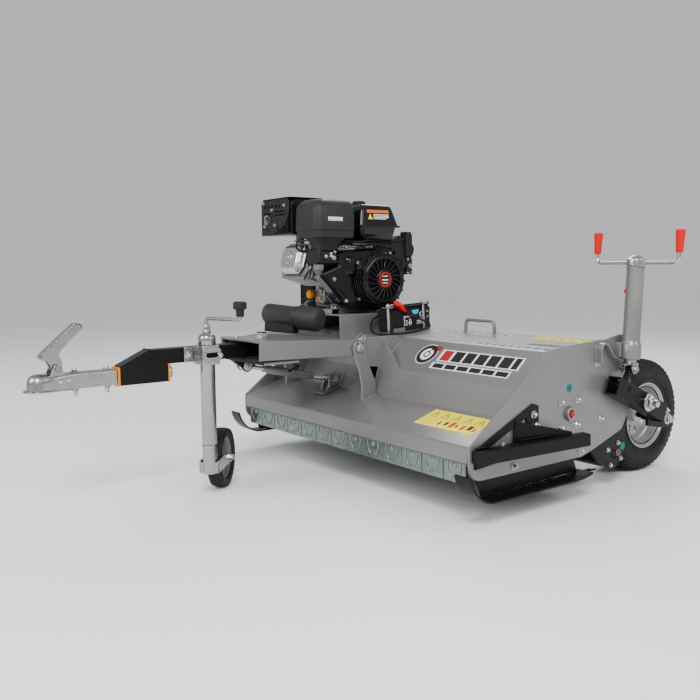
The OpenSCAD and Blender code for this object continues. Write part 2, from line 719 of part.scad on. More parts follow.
module tongue_frame() color(grey_paint) machine() {
  near = lug_near_x - 2 - plate_t;
  far = lug_far_x + 12;
  tongue_eye(near, tongue_front_y);
  tongue_eye(far, 40);
  // Slanted far wall
  intersection() {
    translate([0, 0, tongue_low_z]) linear_extrude(80)
      polygon(ribbon([[-282, tongue_front_y], [-282, -190], [far, 30], [far, 60]], plate_t));
    under_top() block([far - 40, tongue_front_y - 20, -121], [400, 420, 120]);
  }
  // Top plate with the drawbar's pivot
  difference() {
    under_top() translate([0, 0, -6]) linear_extrude(6) polygon([[near, tongue_front_y], [near + plate_t, 72],
      [far, 72], [far, 30], [-282, -190], [-282, tongue_front_y]]);
    rod_z([drawbar_x, drawbar_pivot_y, 400], 12 + run_fit, 200);
  }
  // Lower strap under the drawbar, with the turnbuckle's front ears
  difference() {
    block([-282, -262, tongue_low_z - 12], [282 + near + plate_t, 130, 8]);
    translate([near, -262, tongue_low_z - 5]) cube([plate_t, 130, 6]);
    rod_z([drawbar_x, drawbar_pivot_y, 400], 12 + run_fit, 200);
  }
  for (x = [turn_x - 21, turn_x + 13]) along_x(x, plate_t) difference() {
    union() {
      polygon([[-260, tongue_low_z - 8], [-222, turn_front[1]], [-186, turn_front[1]], [-140, tongue_low_z - 8]]);
      translate(turn_front) circle(r = 19);
    }
    translate(turn_front) circle(r = screw_r);
  }
  rod_x([turn_x - 24, turn_front[0], turn_front[1]], screw_r, 50);
}

// Built about the canister's own axis, lying on the tongue
can_len = 150;
module on_canister() machine() translate([-430, -10, 566]) rotate([0, 95, 26]) children();

module canister() color(black_paint) on_canister() {
  cylinder(r = 38, h = can_len);
  for (foot = [[16, 71], [can_len - 40, 65]]) block([20, -26, foot[0]], [foot[1] - 20, 52, 30]);
}

module canister_cap() color(black_paint) on_canister() translate([0, 0, can_len + side_gap])
  cylinder(r = 47, h = 90);

module drawbar() color(black_paint) machine() {
  side = drawbar_side;
  low = drawbar_z - side/2 + 1.5;
  // Level tube under the tongue's top plate
  difference() {
    block([drawbar_x - side/2, knee_y, low], [side, -knee_y - 110, side - 3]);
    block([drawbar_x - side/2 + 4, knee_y - 1, low + 4], [side - 8, -knee_y, side - 11]);
    rod_z([drawbar_x, drawbar_pivot_y, 400], 12, 200);
  }
  // Pivot bolt through the tongue's plates
  rod_z([drawbar_x, drawbar_pivot_y, tongue_low_z - 20], 12, 80);
  bolt_z([drawbar_x, drawbar_pivot_y, tongue_top(drawbar_pivot_y - 20) + side_gap], 17);
  // Raked front piece down to the swivel tube
  along_x(drawbar_x - side/2, side) polygon([[knee_y + 30, low + 1],
    [knee_y + 1, low + side - 3], [knee_y - 4, low + side - 3], [swivel_front_y + 2, swivel_z + 32],
    [swivel_front_y + 2, swivel_z + 24], [swivel_rear_y - 4, swivel_z + 24], [swivel_rear_y - 4, low + 1]]);
  // Square swivel tube
  difference() {
    block([drawbar_x - 27, swivel_front_y, swivel_z - 27], [54, swivel_rear_y - swivel_front_y, 54]);
    rod_y([drawbar_x, swivel_front_y - 1, swivel_z], 21, swivel_rear_y - swivel_front_y + 2);
  }
}

module swivel_bushes() color(orange) machine() {
  for (y = [swivel_front_y - 6, swivel_rear_y])
    difference() {
      union() {
        block([drawbar_x - 29, y, swivel_z - 29], [58, 6, 58]);
        rod_y([drawbar_x, y - (y < -600 ? -5 : 30), swivel_z], 21, 31);
      }
      rod_y([drawbar_x, y - 60, swivel_z], 15 + run_fit, 120);
    }
}

// Pressed ball coupler with its swivel shaft
module coupler_body() color(zinc) machine() difference() {
  union() {
    translate([drawbar_x, socket_y, swivel_z - 8]) sphere(r = 32);
    rod_z([drawbar_x, socket_y, swivel_z - 24], 32, 16);
    rod_z([drawbar_x, socket_y, swivel_z - 24], 44, 4);
    along_x(drawbar_x - 28, 56) polygon([[-916, swivel_z - 24], [-916, swivel_z + 20], [-850, swivel_z + 24],
      [swivel_front_y - 10, swivel_z + 24], [swivel_front_y - 10, swivel_z - 24]]);
    block([drawbar_x - 36, -916, swivel_z - 24], [72, 90, 4]);
    rod_y([drawbar_x, -760, swivel_z], 15, swivel_rear_y + 767);
    rod_y([drawbar_x, swivel_rear_y + 6 + side_gap, swivel_z], 22, 12);
    for (x = [drawbar_x - 26, drawbar_x + 18]) along_x(x, 8) {
      translate(lever_pin) circle(r = 12);
      polygon([[lever_pin[0] - 12, lever_pin[1]], [lever_pin[0] + 12, lever_pin[1]], [-850, swivel_z + 20], [-890, swivel_z + 18]]);
    }
  }
  translate([drawbar_x, socket_y, swivel_z - 8]) sphere(r = ball_socket_r);
  rod_z([drawbar_x, socket_y, swivel_z - 25], ball_socket_r, 17);
  block([drawbar_x - 46, socket_y - 46, swivel_z - 46], [92, 92, 22]);
  block([drawbar_x - 23, -886, swivel_z - 25], [46, 110, 40]);
  rod_x([drawbar_x - 30, lever_pin[0], lever_pin[1]], 5 + run_fit, 60);
  for (y = coupler_bolt_y) rod_z([drawbar_x, y, swivel_z - 40], 6, 80);
}

module coupler_bolts() color(zinc) machine() for (y = coupler_bolt_y) {
  bolt_z([drawbar_x, y, swivel_z + 24], 10);
  rod_z([drawbar_x, y, swivel_z - 44], 6, 70);
  translate([drawbar_x, y, swivel_z - 36]) cylinder(r = 10, h = 12, $fn = 6);
}

module coupler_lever() color(zinc) machine() {
  along_x(drawbar_x - 16, 32) translate(lever_pin) {
    circle(r = 11);
    polygon([[-5, -10], [16, -6], [18, 16], [8, 40], [70, 104], [82, 112], [76, 126], [60, 128], [-40, 42], [-46, 30],
      [-24, 22]]);
  }
  rod_x([drawbar_x - 28, lever_pin[0], lever_pin[1]], 5, 56);
}

/* ---------- turnbuckle ---------- */

// Built about the turnbuckle's axis: Z runs from the rear pin to the front pin
module on_turnbuckle() machine() translate([turn_x, turn_rear[0], turn_rear[1]])
  rotate([90 - turn_rise, 0, 0]) children();

module turnbuckle_eye() color(zinc) on_turnbuckle() difference() {
  union() {
    translate([-11, 0, 0]) rotate([0, 90, 0]) cylinder(r = 17, h = 22);
    translate([0, 0, 10]) cylinder(r = screw_r, h = 130);
  }
  translate([-12, 0, 0]) rotate([0, 90, 0]) cylinder(r = screw_r + run_fit, h = 24);
}

module turnbuckle_tube() color(grey_paint) on_turnbuckle() {
  difference() {
    translate([0, 0, 84]) cylinder(r = 14, h = 216);
    translate([0, 0, 80]) cylinder(r = screw_r + run_fit, h = 230);
  }
  rotate(25) for (s = [-1, 1]) translate([0, 0, 196]) rotate([0, s*90, 0]) translate([0, 0, 13]) cylinder(r = 5, h = 56);
}

module turnbuckle_fork() color(zinc) on_turnbuckle() difference() {
  union() {
    translate([-10, 0, turn_len]) rotate([0, 90, 0]) cylinder(r = 18, h = 20);
    translate([0, 0, 200]) cylinder(r = screw_r, h = turn_len - 208);
  }
  translate([-12, 0, turn_len]) rotate([0, 90, 0]) cylinder(r = screw_r + 1.6, h = 24);
}

/* ---------- jockey wheel ---------- */

module jockey_clamp() color(zinc) machine() {
  reach = jockey_x - drawbar_x - drawbar_side/2;
  difference() {
    union() {
      block([drawbar_x + drawbar_side/2, jockey_y - 62, 440], [8, 124, 48]);
      block([drawbar_x + drawbar_side/2, jockey_y - 31, 434], [reach + 30, 62, 60]);
    }
    rod_z([jockey_x, jockey_y, 400], jockey_tube_r, 120);
  }
  bolt_x([drawbar_x + drawbar_side/2 + 8, jockey_y - 48, 464], 9);
  rod_x([jockey_x + 30, jockey_y + 6, 464], 8, 26);
}

module jockey_tube() color(zinc) machine() {
  difference() {
    union() {
      rod_z([jockey_x, jockey_y, jockey_tube_z], jockey_tube_r, 520 - jockey_tube_z);
      rod_z([jockey_x, jockey_y, 495], 28, 36);
    }
    rod_z([jockey_x, jockey_y, jockey_tube_z - 1], 20.5, 300);
    rod_z([jockey_x, jockey_y, 400], screw_rod_r + run_fit, 140);
  }
}

module jockey_crank() color(zinc) machine() translate([jockey_x, jockey_y, 0]) {
  rod_z([0, 0, 200], screw_rod_r, 340);
  rod_z([0, 0, 532], 14, 30);
  rod_z([0, 0, 550], 6, 28);
  rotate(crank_heading) {
    rod_x([-6, 0, 578], 6, crank_arm + 12);
    rod_z([crank_arm, 0, 578], 6, 12);
    rod_z([crank_arm, 0, 586], 13, 24);
    rod_z([crank_arm, 0, 608], 21, 27);
  }
}

module jockey_inner() color(zinc) machine() difference() {
  rod_z([jockey_x, jockey_y, 120], 20.45, 260);
  rod_z([jockey_x, jockey_y, 140], 12, 250);
}

// Fork about the tube's axis, turned to its trailing heading
module on_fork() machine() translate([jockey_x, jockey_y, 0]) rotate([0, 0, jockey_heading - 90]) children();

module jockey_fork() color(zinc) on_fork() {
  difference() {
    rod_z([0, 0, 80], jockey_tube_r, jockey_tube_z - 80 - side_gap);
    rod_z([0, 0, 119.5], 20.45 + run_fit, 100);
  }
  for (x = [-32, 27]) along_x(x, 5) polygon([[-14, 82], [-14, 124], [60, 126], [jockey_trail + 16, 114],
    [jockey_trail + 16, 86], [40, 82]]);
  block([-32, -14, 82], [64, 12, 37]);
  rod_x([-38, jockey_trail, 100], 8, 76);
}

module jockey_wheel() color(rubber) on_fork() translate([0, jockey_trail, jockey_r]) rotate([0, 90, 0])
  rotate_extrude($fn = 96) {
    translate([8 + run_fit, -24]) square([12, 48]);
    translate([18, -5]) square([50, 10]);
    polygon(concat([[66, -18]], [[88, -25], [96, -23], [jockey_r, -16], [jockey_r, 16], [96, 23], [88, 25]], [[66, 18]]));
  }

deck_shell();
side_plates();
engine_bed();
hitch_brackets();
grab_handle();
skids();
side_bumper();
roller_brackets();
bearing_housings();
deck_fasteners();
belt_guard();
drive_belts();
engine_block();
valve_cover();
fan_housing();
recoil_cover();
fuel_tank();
air_filter();
muffler();
carburettor();
control_box();
battery();
battery_leads();
jack_tubes();
front_flaps();
rear_curtain();
rotor();
flails_a();
flails_b();
engine_pulley();
rear_roller();
left_arm();
right_arm();
left_rim();
right_rim();
left_tyre();
right_tyre();
left_crank();
right_crank();
left_ram();
right_ram();
left_link();
right_link();
tongue_frame();
canister();
canister_cap();
drawbar();
swivel_bushes();
coupler_body();
coupler_bolts();
coupler_lever();
turnbuckle_eye();
turnbuckle_tube();
turnbuckle_fork();
jockey_clamp();
jockey_tube();
jockey_crank();
jockey_inner();
jockey_fork();
jockey_wheel();
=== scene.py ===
import bpy
import bmesh
import json
import math
import random
from mathutils import Matrix, Vector
from mathutils.geometry import tessellate_polygon

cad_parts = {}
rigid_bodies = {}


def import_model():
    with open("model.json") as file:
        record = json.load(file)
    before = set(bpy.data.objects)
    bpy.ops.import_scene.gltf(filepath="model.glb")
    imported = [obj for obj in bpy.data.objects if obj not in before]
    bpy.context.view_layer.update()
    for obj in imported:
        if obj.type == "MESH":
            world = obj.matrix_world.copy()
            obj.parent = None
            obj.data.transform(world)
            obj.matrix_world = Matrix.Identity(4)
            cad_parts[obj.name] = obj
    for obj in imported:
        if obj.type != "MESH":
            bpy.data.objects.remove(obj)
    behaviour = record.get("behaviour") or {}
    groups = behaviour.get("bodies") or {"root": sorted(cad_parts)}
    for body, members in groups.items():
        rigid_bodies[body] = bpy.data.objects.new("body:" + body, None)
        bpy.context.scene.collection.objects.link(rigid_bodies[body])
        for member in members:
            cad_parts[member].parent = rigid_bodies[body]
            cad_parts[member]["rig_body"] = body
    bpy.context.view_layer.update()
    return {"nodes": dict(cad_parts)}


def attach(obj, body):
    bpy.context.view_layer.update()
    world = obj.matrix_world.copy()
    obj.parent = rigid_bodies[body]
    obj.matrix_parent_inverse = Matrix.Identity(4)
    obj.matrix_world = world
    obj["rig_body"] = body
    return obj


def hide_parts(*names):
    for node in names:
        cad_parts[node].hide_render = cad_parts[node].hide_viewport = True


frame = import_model()
nodes = frame["nodes"]
rng = random.Random(7)

Y_SHIFT = -99.5          # machine axes (Y from the deck's lip) to the row frame
TO_ROW = Matrix.Translation((0, Y_SHIFT/1000, 0)) @ Matrix.Scale(0.001, 4)
AXES = {"x": Matrix(((0, 0, 1), (1, 0, 0), (0, 1, 0))).to_4x4(),     # outline is Y, Z
        "y": Matrix(((1, 0, 0), (0, 0, 1), (0, 1, 0))).to_4x4(),     # outline is X, Z
        "z": Matrix.Identity(4)}                                     # outline is X, Y


# ---------- camera ----------

def make_camera():
    az, pitch, roll = (math.radians(a) for a in (52.950, 5.967, -0.520))
    fw = Vector((-math.sin(az)*math.cos(pitch), math.cos(az)*math.cos(pitch), -math.sin(pitch)))
    right = Vector((math.cos(az), math.sin(az), 0))
    up = right.cross(fw)
    x = right*math.cos(roll) + up*math.sin(roll)
    y = -right*math.sin(roll) + up*math.cos(roll)
    data = bpy.data.cameras.new("camera")
    data.lens = 40.70
    data.sensor_width = 36
    cam = bpy.data.objects.new("camera", data)
    bpy.context.scene.collection.objects.link(cam)
    m = Matrix((x, y, -fw)).transposed().to_4x4()
    m.translation = Vector((2.1436, -1.6556, 0.7348))
    cam.matrix_world = m
    bpy.context.scene.camera = cam


# ---------- materials ----------

class Nodes:
    """A material's node tree with short ways to add textures."""

    def __init__(self, name, color, metallic, rough, **extra):
        self.m = bpy.data.materials.new(name)
        self.m.use_nodes = True
        self.t = self.m.node_tree
        self.bsdf = self.t.nodes["Principled BSDF"]
        self.bsdf.inputs["Base Color"].default_value = (*color, 1)
        self.bsdf.inputs["Metallic"].default_value = metallic
        self.bsdf.inputs["Roughness"].default_value = rough
        for k, v in extra.items():
            self.bsdf.inputs[k].default_value = v
        self.coord = self.t.nodes.new("ShaderNodeTexCoord")

    def node(self, kind, **props):
        n = self.t.nodes.new(kind)
        for k, v in props.items():
            setattr(n, k, v)
        return n

    def link(self, a, b):
        self.t.links.new(a, b)

    def noise(self, scale, detail=4, rough=0.55):
        n = self.node("ShaderNodeTexNoise")
        n.inputs["Scale"].default_value = scale
        n.inputs["Detail"].default_value = detail
        n.inputs["Roughness"].default_value = rough
        self.link(self.coord.outputs["Object"], n.inputs["Vector"])
        return n.outputs["Fac"]

    def cells(self, scale):
        n = self.node("ShaderNodeTexVoronoi")
        n.inputs["Scale"].default_value = scale
        self.link(self.coord.outputs["Object"], n.inputs["Vector"])
        s = self.node("ShaderNodeSeparateColor")
        self.link(n.outputs["Color"], s.inputs["Color"])
        return s.outputs[0]

    def spread(self, source, low, high, start=0.3, end=0.7):
        n = self.node("ShaderNodeMapRange")
        n.inputs["From Min"].default_value = start
        n.inputs["From Max"].default_value = end
        n.inputs["To Min"].default_value = low
        n.inputs["To Max"].default_value = high
        self.link(source, n.inputs["Value"])
        return n.outputs["Result"]

    def blend(self, factor, a, b):
        n = self.node("ShaderNodeMix", data_type="RGBA")
        self.link(factor, n.inputs["Factor"])
        for socket, c in (("A", a), ("B", b)):
            target = [i for i in n.inputs if i.name == socket and i.type == "RGBA"][0]
            if isinstance(c, tuple):
                target.default_value = (*c, 1)
            else:
                self.link(c, target)
        return [o for o in n.outputs if o.type == "RGBA"][0]

    def color(self, socket):
        self.link(socket, self.bsdf.inputs["Base Color"])

    def roughness(self, socket):
        self.link(socket, self.bsdf.inputs["Roughness"])

    def bump(self, height, strength, distance):
        n = self.node("ShaderNodeBump")
        n.inputs["Strength"].default_value = strength
        n.inputs["Distance"].default_value = distance
        self.link(height, n.inputs["Height"])
        self.link(n.outputs["Normal"], self.bsdf.inputs["Normal"])


def shade(c, k):
    return tuple(min(1, v*k) for v in c)


def coated(name, color, rough, metallic=0.0, vary=0.08, peel=0.25, peel_scale=900, dust=0.0, **extra):
    """Paint or plastic: mottled colour, uneven gloss and a fine orange peel or grain."""
    n = Nodes(name, color, metallic, rough, **extra)
    tone = n.blend(n.spread(n.noise(9), 0, 1), shade(color, 1 - vary), shade(color, 1 + vary))
    if dust:
        tone = n.blend(n.spread(n.noise(38, 8, 0.7), 0, dust, 0.5, 0.8), tone, (0.22, 0.21, 0.19))
    n.color(tone)
    n.roughness(n.spread(n.noise(26, 6), rough*0.86, rough*1.16))
    n.bump(n.noise(peel_scale, 2), peel, 0.0002)
    return n.m


def plated(name, color, rough, spangle=140, tint=None, metallic=0.85, vary=0.14):
    """Zinc plating: crystal spangle, cloudy tint and slightly uneven gloss."""
    n = Nodes(name, color, metallic, rough)
    tone = n.blend(n.cells(spangle), shade(color, 1 - vary), shade(color, 1 + vary))
    cloud = n.spread(n.noise(22, 6), 0, 1)
    tone = n.blend(cloud, tone, tint or shade(color, 0.86))
    n.color(tone)
    n.roughness(n.spread(n.noise(60, 6), rough*0.75, rough*1.3))
    n.bump(n.noise(420, 3), 0.10, 0.0002)
    return n.m


def cast(name, color, rough, metallic):
    n = Nodes(name, color, metallic, rough)
    n.color(n.blend(n.spread(n.noise(45, 6), 0, 1), shade(color, 0.78), shade(color, 1.12)))
    n.roughness(n.spread(n.noise(120), rough*0.8, rough*1.2))
    n.bump(n.noise(520, 6), 0.55, 0.0005)
    return n.m


DULL = {"Specular IOR Level": 0.22}
SOFT = {"Specular IOR Level": 0.38}


def make_materials():
    m = {}
    m["grey"] = coated("grey_powder_coat", (0.200, 0.197, 0.194), 0.33, metallic=0.45, vary=0.05, peel=0.20)
    m["black"] = coated("black_powder_coat", (0.0050, 0.0050, 0.0053), 0.34, vary=0.2, peel=0.25,
            dust=0.012, **{"Specular IOR Level": 0.14})
    m["gloss"] = coated("gloss_black_enamel", (0.0035, 0.0035, 0.0038), 0.14, vary=0.2, peel=0.08, **SOFT)
    m["plastic"] = coated("grained_black_plastic", (0.011, 0.011, 0.0115), 0.52, vary=0.12, peel=0.7,
            peel_scale=1300, dust=0.02, **DULL)
    m["canister"] = coated("dark_grey_plastic", (0.024, 0.024, 0.0245), 0.50, vary=0.10, peel=0.6,
            peel_scale=1300, **DULL)
    m["filter"] = coated("dark_grey_cover", (0.020, 0.020, 0.0205), 0.46, vary=0.10, peel=0.5,
            peel_scale=1200, **DULL)
    m["zinc"] = plated("bright_zinc", (0.52, 0.535, 0.535), 0.20, spangle=300, metallic=1.0, vary=0.05)
    m["hot_zinc"] = plated("hot_dip_zinc", (0.36, 0.365, 0.37), 0.24, spangle=160, tint=(0.30, 0.305, 0.31),
            metallic=1.0, vary=0.06)
    m["coupler"] = plated("cast_zinc_coupler", (0.36, 0.365, 0.365), 0.27, spangle=220,
            tint=(0.29, 0.295, 0.295), metallic=1.0, vary=0.06)
    m["flap"] = plated("passivated_flap", (0.20, 0.25, 0.235), 0.26, spangle=60, tint=(0.16, 0.195, 0.185),
            vary=0.08)
    # A lighter copy of the flap's zinc: painted highlight on the pressed outlines
    m["flap_highlight"] = plated("flap_pressing", (0.25, 0.30, 0.285), 0.28, spangle=60, tint=(0.20, 0.24, 0.23),
            vary=0.06)
    m["alloy"] = cast("cast_alloy", (0.28, 0.285, 0.285), 0.42, 0.8)
    m["cover"] = cast("machined_cover", (0.50, 0.51, 0.52), 0.22, 0.95)
    m["rim"] = coated("silver_wheel_paint", (0.44, 0.44, 0.445), 0.36, metallic=0.5, vary=0.06)
    m["tyre"] = coated("tyre_rubber", (0.010, 0.0105, 0.011), 0.60, vary=0.25, peel=0.8, peel_scale=600,
            dust=0.05, **DULL)
    m["rubber"] = coated("black_rubber", (0.006, 0.006, 0.006), 0.5, vary=0.2, peel=0.4, **DULL)
    m["orange"] = coated("orange_bush", (0.76, 0.23, 0.0005), 0.45, vary=0.08,
            **{"Specular IOR Level": 0.08})
    for key, name, color, rough, vary in (("film_orange", "orange_film", (0.80, 0.13, 0.001), 0.55, 0.05),
            ("yellow", "yellow_film", (0.88, 0.74, 0.003), 0.60, 0.04),
            ("ink", "dark_ink", (0.010, 0.010, 0.010), 0.60, 0.1),
            ("white", "pale_film", (0.72, 0.72, 0.72), 0.60, 0.04),
            ("teal", "teal_film", (0.001, 0.16, 0.145), 0.60, 0.06),
            ("blue", "blue_film", (0.006, 0.045, 0.30), 0.60, 0.05),
            ("sky", "light_blue_film", (0.01, 0.42, 0.86), 0.5, 0.05),
            ("dark_red", "dark_red_film", (0.36, 0.006, 0.008), 0.60, 0.05)):
        m[key] = coated(name, color, rough, vary=vary, peel=0.05, **DULL)
    m["red"] = coated("red_grip", (0.60, 0.0004, 0.0004), 0.45, vary=0.05, peel=0.12,
            **{"Specular IOR Level": 0.08})
    # Painted shade: flat near-black for slots, openings and the gaps behind perforations
    m["hole"] = coated("dark_hollow", (0.0015, 0.0015, 0.0015), 0.9, vary=0.1, **DULL)
    m["grey_plastic"] = coated("grey_plastic", (0.12, 0.123, 0.123), 0.45, vary=0.06, peel=0.4)
    return m


make_camera()
MAT = make_materials()
# The record's material slot for each material here
SLOTS = {"grey": "grey_paint", "black": "black_paint", "gloss": "gloss_black", "plastic": "black_plastic",
        "canister": "black_plastic", "filter": "black_plastic", "zinc": "zinc_bolts",
        "hot_zinc": "galvanised", "coupler": "galvanised", "flap": "galvanised", "flap_highlight": "galvanised",
        "alloy": "cast_aluminium", "rim": "silver_rim", "tyre": "tyre", "rubber": "rubber",
        "orange": "orange_plastic", "red": "red_plastic"}


# ---------- mesh building ----------

def rounded(points, radius, n=6):
    """An open path with its corners rounded."""
    pts = [Vector(p) for p in points]
    out = [pts[0]]
    for a, b, c in zip(pts, pts[1:], pts[2:]):
        u, v = (a - b), (c - b)
        half = u.angle(v)/2
        cut = min(radius/math.tan(half), u.length*0.49, v.length*0.49)
        p, q = b + u.normalized()*cut, b + v.normalized()*cut
        for i in range(n + 1):
            t = i/n
            out.append(p*(1 - t)**2 + b*2*t*(1 - t) + q*t*t)
    return out + [pts[-1]]


def smooth_path(points, n):
    """A Catmull-Rom curve through the points."""
    p = [Vector(q) for q in points]
    out = []
    for i in range(len(p) - 1):
        a, b, c, d = p[max(i - 1, 0)], p[i], p[i + 1], p[min(i + 2, len(p) - 1)]
        for k in range(n):
            t = k/n
            out.append(0.5*(2*b + (c - a)*t + (2*a - 5*b + 4*c - d)*t*t + (3*b - a - 3*c + d)*t**3))
    return out + [p[-1]]


def rrect(x0, x1, y0, y1, r, n=5):
    """A rectangle with round corners, anticlockwise."""
    out = []
    for cx, cy, a in ((x1 - r, y1 - r, 0), (x0 + r, y1 - r, 90), (x0 + r, y0 + r, 180),
            (x1 - r, y0 + r, 270)):
        for i in range(n + 1):
            t = math.radians(a + 90*i/n)
            out.append((cx + r*math.cos(t), cy + r*math.sin(t)))
    return out


def circle(cx, cy, r, n=32, start=0, end=360):
    count = n if end - start == 360 else n + 1
    return [(cx + r*math.cos(math.radians(start + (end - start)*i/n)),
            cy + r*math.sin(math.radians(start + (end - start)*i/n))) for i in range(count)]


def slot_outline(y0, y1, z0, z1, n=6):
    return rrect(y0, y1, z0, z1, min(y1 - y0, z1 - z0)/2 - 0.01, n)


OUT, INWARD, UP, DOWN, FORE, AFT = (1, 0, 0), (-1, 0, 0), (0, 0, 1), (0, 0, -1), (0, -1, 0), (0, 1, 0)
# Faces of a block given as two opposite faces of four corners
BLOCK = [(0, 1, 2, 3), (7, 6, 5, 4), (0, 4, 5, 1), (1, 5, 6, 2), (2, 6, 7, 3), (3, 7, 4, 0)]


class Shape:
    """Closed solids gathered in millimetres, in the machine's own axes."""

    def __init__(self, *steps):
        self.bm = bmesh.new()
        self.at(*steps)

    def at(self, *steps):
        """Sets where the next solids go."""
        self.m = Matrix.Identity(4)
        for s in steps:
            self.m = self.m @ s
        return self

    def faces(self, verts, faces, m=None):
        m = self.m @ m if m else self.m
        vs = [self.bm.verts.new(m @ Vector(v)) for v in verts]
        for f in faces:
            try:
                self.bm.faces.new([vs[i] for i in f])
            except ValueError:
                pass
        return self

    def box(self, lo, size):
        x, y, z = lo
        a, b, c = size
        v = [(x + i*a, y + j*b, z + k*c) for k in (0, 1) for j in (0, 1) for i in (0, 1)]
        return self.faces(v, [(0, 2, 3, 1), (4, 5, 7, 6), (0, 1, 5, 4), (2, 6, 7, 3), (0, 4, 6, 2),
                (1, 3, 7, 5)])

    def prism(self, axis, start, width, outline, holes=()):
        loops = [list(outline)] + [list(h) for h in holes]
        flat = [p for loop in loops for p in loop]
        n = len(flat)
        v = [(p[0], p[1], start) for p in flat] + [(p[0], p[1], start + width) for p in flat]
        if holes:
            tris = tessellate_polygon([[Vector((p[0], p[1], 0)) for p in loop] for loop in loops])
            f = [tuple(t) for t in tris] + [tuple(i + n for i in t[::-1]) for t in tris]
        else:
            f = [tuple(range(n)), tuple(range(2*n - 1, n - 1, -1))]
        at = 0
        for loop in loops:
            k = len(loop)
            for i in range(k):
                j = (i + 1) % k
                f.append((at + i, at + j, at + j + n, at + i + n))
            at += k
        return self.faces(v, f, AXES[axis])

    def loft(self, sections, axis="z"):
        """Skins outlines of equal length: each section is (height, outline)."""
        n = len(sections[0][1])
        v = [(p[0], p[1], h) for h, outline in sections for p in outline]
        f = [tuple(range(n)), tuple(range(len(v) - 1, len(v) - n - 1, -1))]
        for s in range(len(sections) - 1):
            for i in range(n):
                j = (i + 1) % n
                f.append((s*n + i, s*n + j, s*n + n + j, s*n + n + i))
        return self.faces(v, f, AXES[axis])

    def lathe(self, p, axis, profile, seg=40, ring=False, phase=0.0):
        """Turns a profile of (radius, height) about an axis through p; ring closes the profile on itself."""
        m = axis if isinstance(axis, Matrix) else AXES[axis]
        m = Matrix.Translation(p) @ m
        v, rows = [], []
        for r, h in profile:
            if r < 1e-6:
                rows.append([len(v)])
                v.append((0, 0, h))
            else:
                rows.append(list(range(len(v), len(v) + seg)))
                v += [(r*math.cos(2*math.pi*i/seg + phase), r*math.sin(2*math.pi*i/seg + phase),
                        h) for i in range(seg)]
        f = []
        pairs = list(zip(rows, rows[1:])) + ([(rows[-1], rows[0])] if ring else [])
        for a, b in pairs:
            for i in range(seg):
                j = (i + 1) % seg
                q = [a[i % len(a)], a[j % len(a)], b[j % len(b)], b[i % len(b)]]
                q = list(dict.fromkeys(q))
                if len(q) > 2:
                    f.append(tuple(q))
        if not ring:
            if len(rows[0]) > 1:
                f.append(tuple(rows[0][::-1]))
            if len(rows[-1]) > 1:
                f.append(tuple(rows[-1]))
        return self.faces(v, f, m)

    def turn(self, profile, seg=40, ring=False):
        return self.lathe((0, 0, 0), "z", profile, seg, ring)

    def rod(self, p, axis, r, length, seg=32, edge=0.8):
        e = min(edge, r*0.3, length*0.3)
        return self.lathe(p, axis, [(r - e, 0), (r, e), (r, length - e), (r - e, length)], seg)

    def pipe(self, p, axis, r, hole, length, seg=32, edge=0.6):
        e = edge
        return self.lathe(p, axis, [(hole, 0), (r - e, 0), (r, e), (r, length - e), (r - e, length),
                (hole, length)], seg, ring=True)

    def tube(self, points, r, seg=12, wobble=0.0, ends=True):
        """Sweeps a circle of radius r, a number or one per point, along the points."""
        pts = [Vector(p) for p in points]
        n = len(pts)
        rad = list(r) if isinstance(r, (list, tuple)) else [r]*n
        v, f = [], []
        side = None
        for i in range(n):
            d = (pts[min(i + 1, n - 1)] - pts[max(i - 1, 0)]).normalized()
            if side is None:
                ref = Vector((0, 0, 1)) if abs(d.z) < 0.9 else Vector((1, 0, 0))
                side = d.cross(ref).normalized()
            else:
                side = (side - d*side.dot(d)).normalized()
            up = side.cross(d)
            for k in range(seg):
                a = 2*math.pi*k/seg
                w = rad[i]*(1 + wobble*(rng.random() - 0.5))
                v.append(pts[i] + side*(w*math.cos(a)) + up*(w*math.sin(a)))
        for i in range(n - 1):
            for k in range(seg):
                j = (k + 1) % seg
                f.append((i*seg + k, i*seg + j, (i + 1)*seg + j, (i + 1)*seg + k))
        if ends:
            f += [tuple(range(seg - 1, -1, -1)), tuple(range((n - 1)*seg, n*seg))]
        return self.faces(v, f)

    def weld(self, points, r=2.4, step=3.2):
        """A weld bead with ripples along a path."""
        pts = [Vector(p) for p in points]
        out, rad = [], []
        for a, b in zip(pts, pts[1:]):
            n = max(2, int((b - a).length/step))
            for i in range(n):
                out.append(a.lerp(b, i/n))
                rad.append(r*(0.82 + 0.36*(len(rad) % 2) + 0.2*rng.random()))
        out.append(pts[-1])
        rad.append(r*0.7)
        return self.tube(out, rad, 8)

    def bolt(self, p, direction, r, stub=0.0):
        """A hexagon head or nut on its washer, with the end of its thread."""
        d = Vector(direction).normalized()
        m = d.to_track_quat("Z", "Y").to_matrix().to_4x4()
        h = 2.2
        self.lathe(p, m, [(0, 0), (r*1.22, 0), (r*1.32, 0.5), (r*1.32, 1.8), (r*1.22, h), (0, h)], 28)
        turn = rng.random()*math.pi
        top = h + r*0.72
        self.lathe(p, m, [(r*0.97, h), (r, h + 0.8), (r, top - r*0.14), (r*0.84, top)], 6, phase=turn)
        self.lathe(p, m, [(r*0.86, top - r*0.10), (r*0.80, top + 0.4), (0, top + 0.5)], 24)
        if stub:
            q = r*0.52
            self.lathe(p, m, [(q, top)] + [(q*(0.9 if i % 2 else 1.0), top + i*0.75) for i in range(1,
                    int(stub/0.75))] + [(q*0.7, top + stub), (0, top + stub)], 20)
        return self

    def piece(self, name, material, body="deck", **finish):
        """Makes the gathered solids one object; finish goes to settle."""
        bmesh.ops.recalc_face_normals(self.bm, faces=self.bm.faces)
        self.bm.transform(TO_ROW)
        mesh = bpy.data.meshes.new(name)
        self.bm.to_mesh(mesh)
        self.bm.free()
        return settle(bpy.data.objects.new(name, mesh), material, body, **finish)


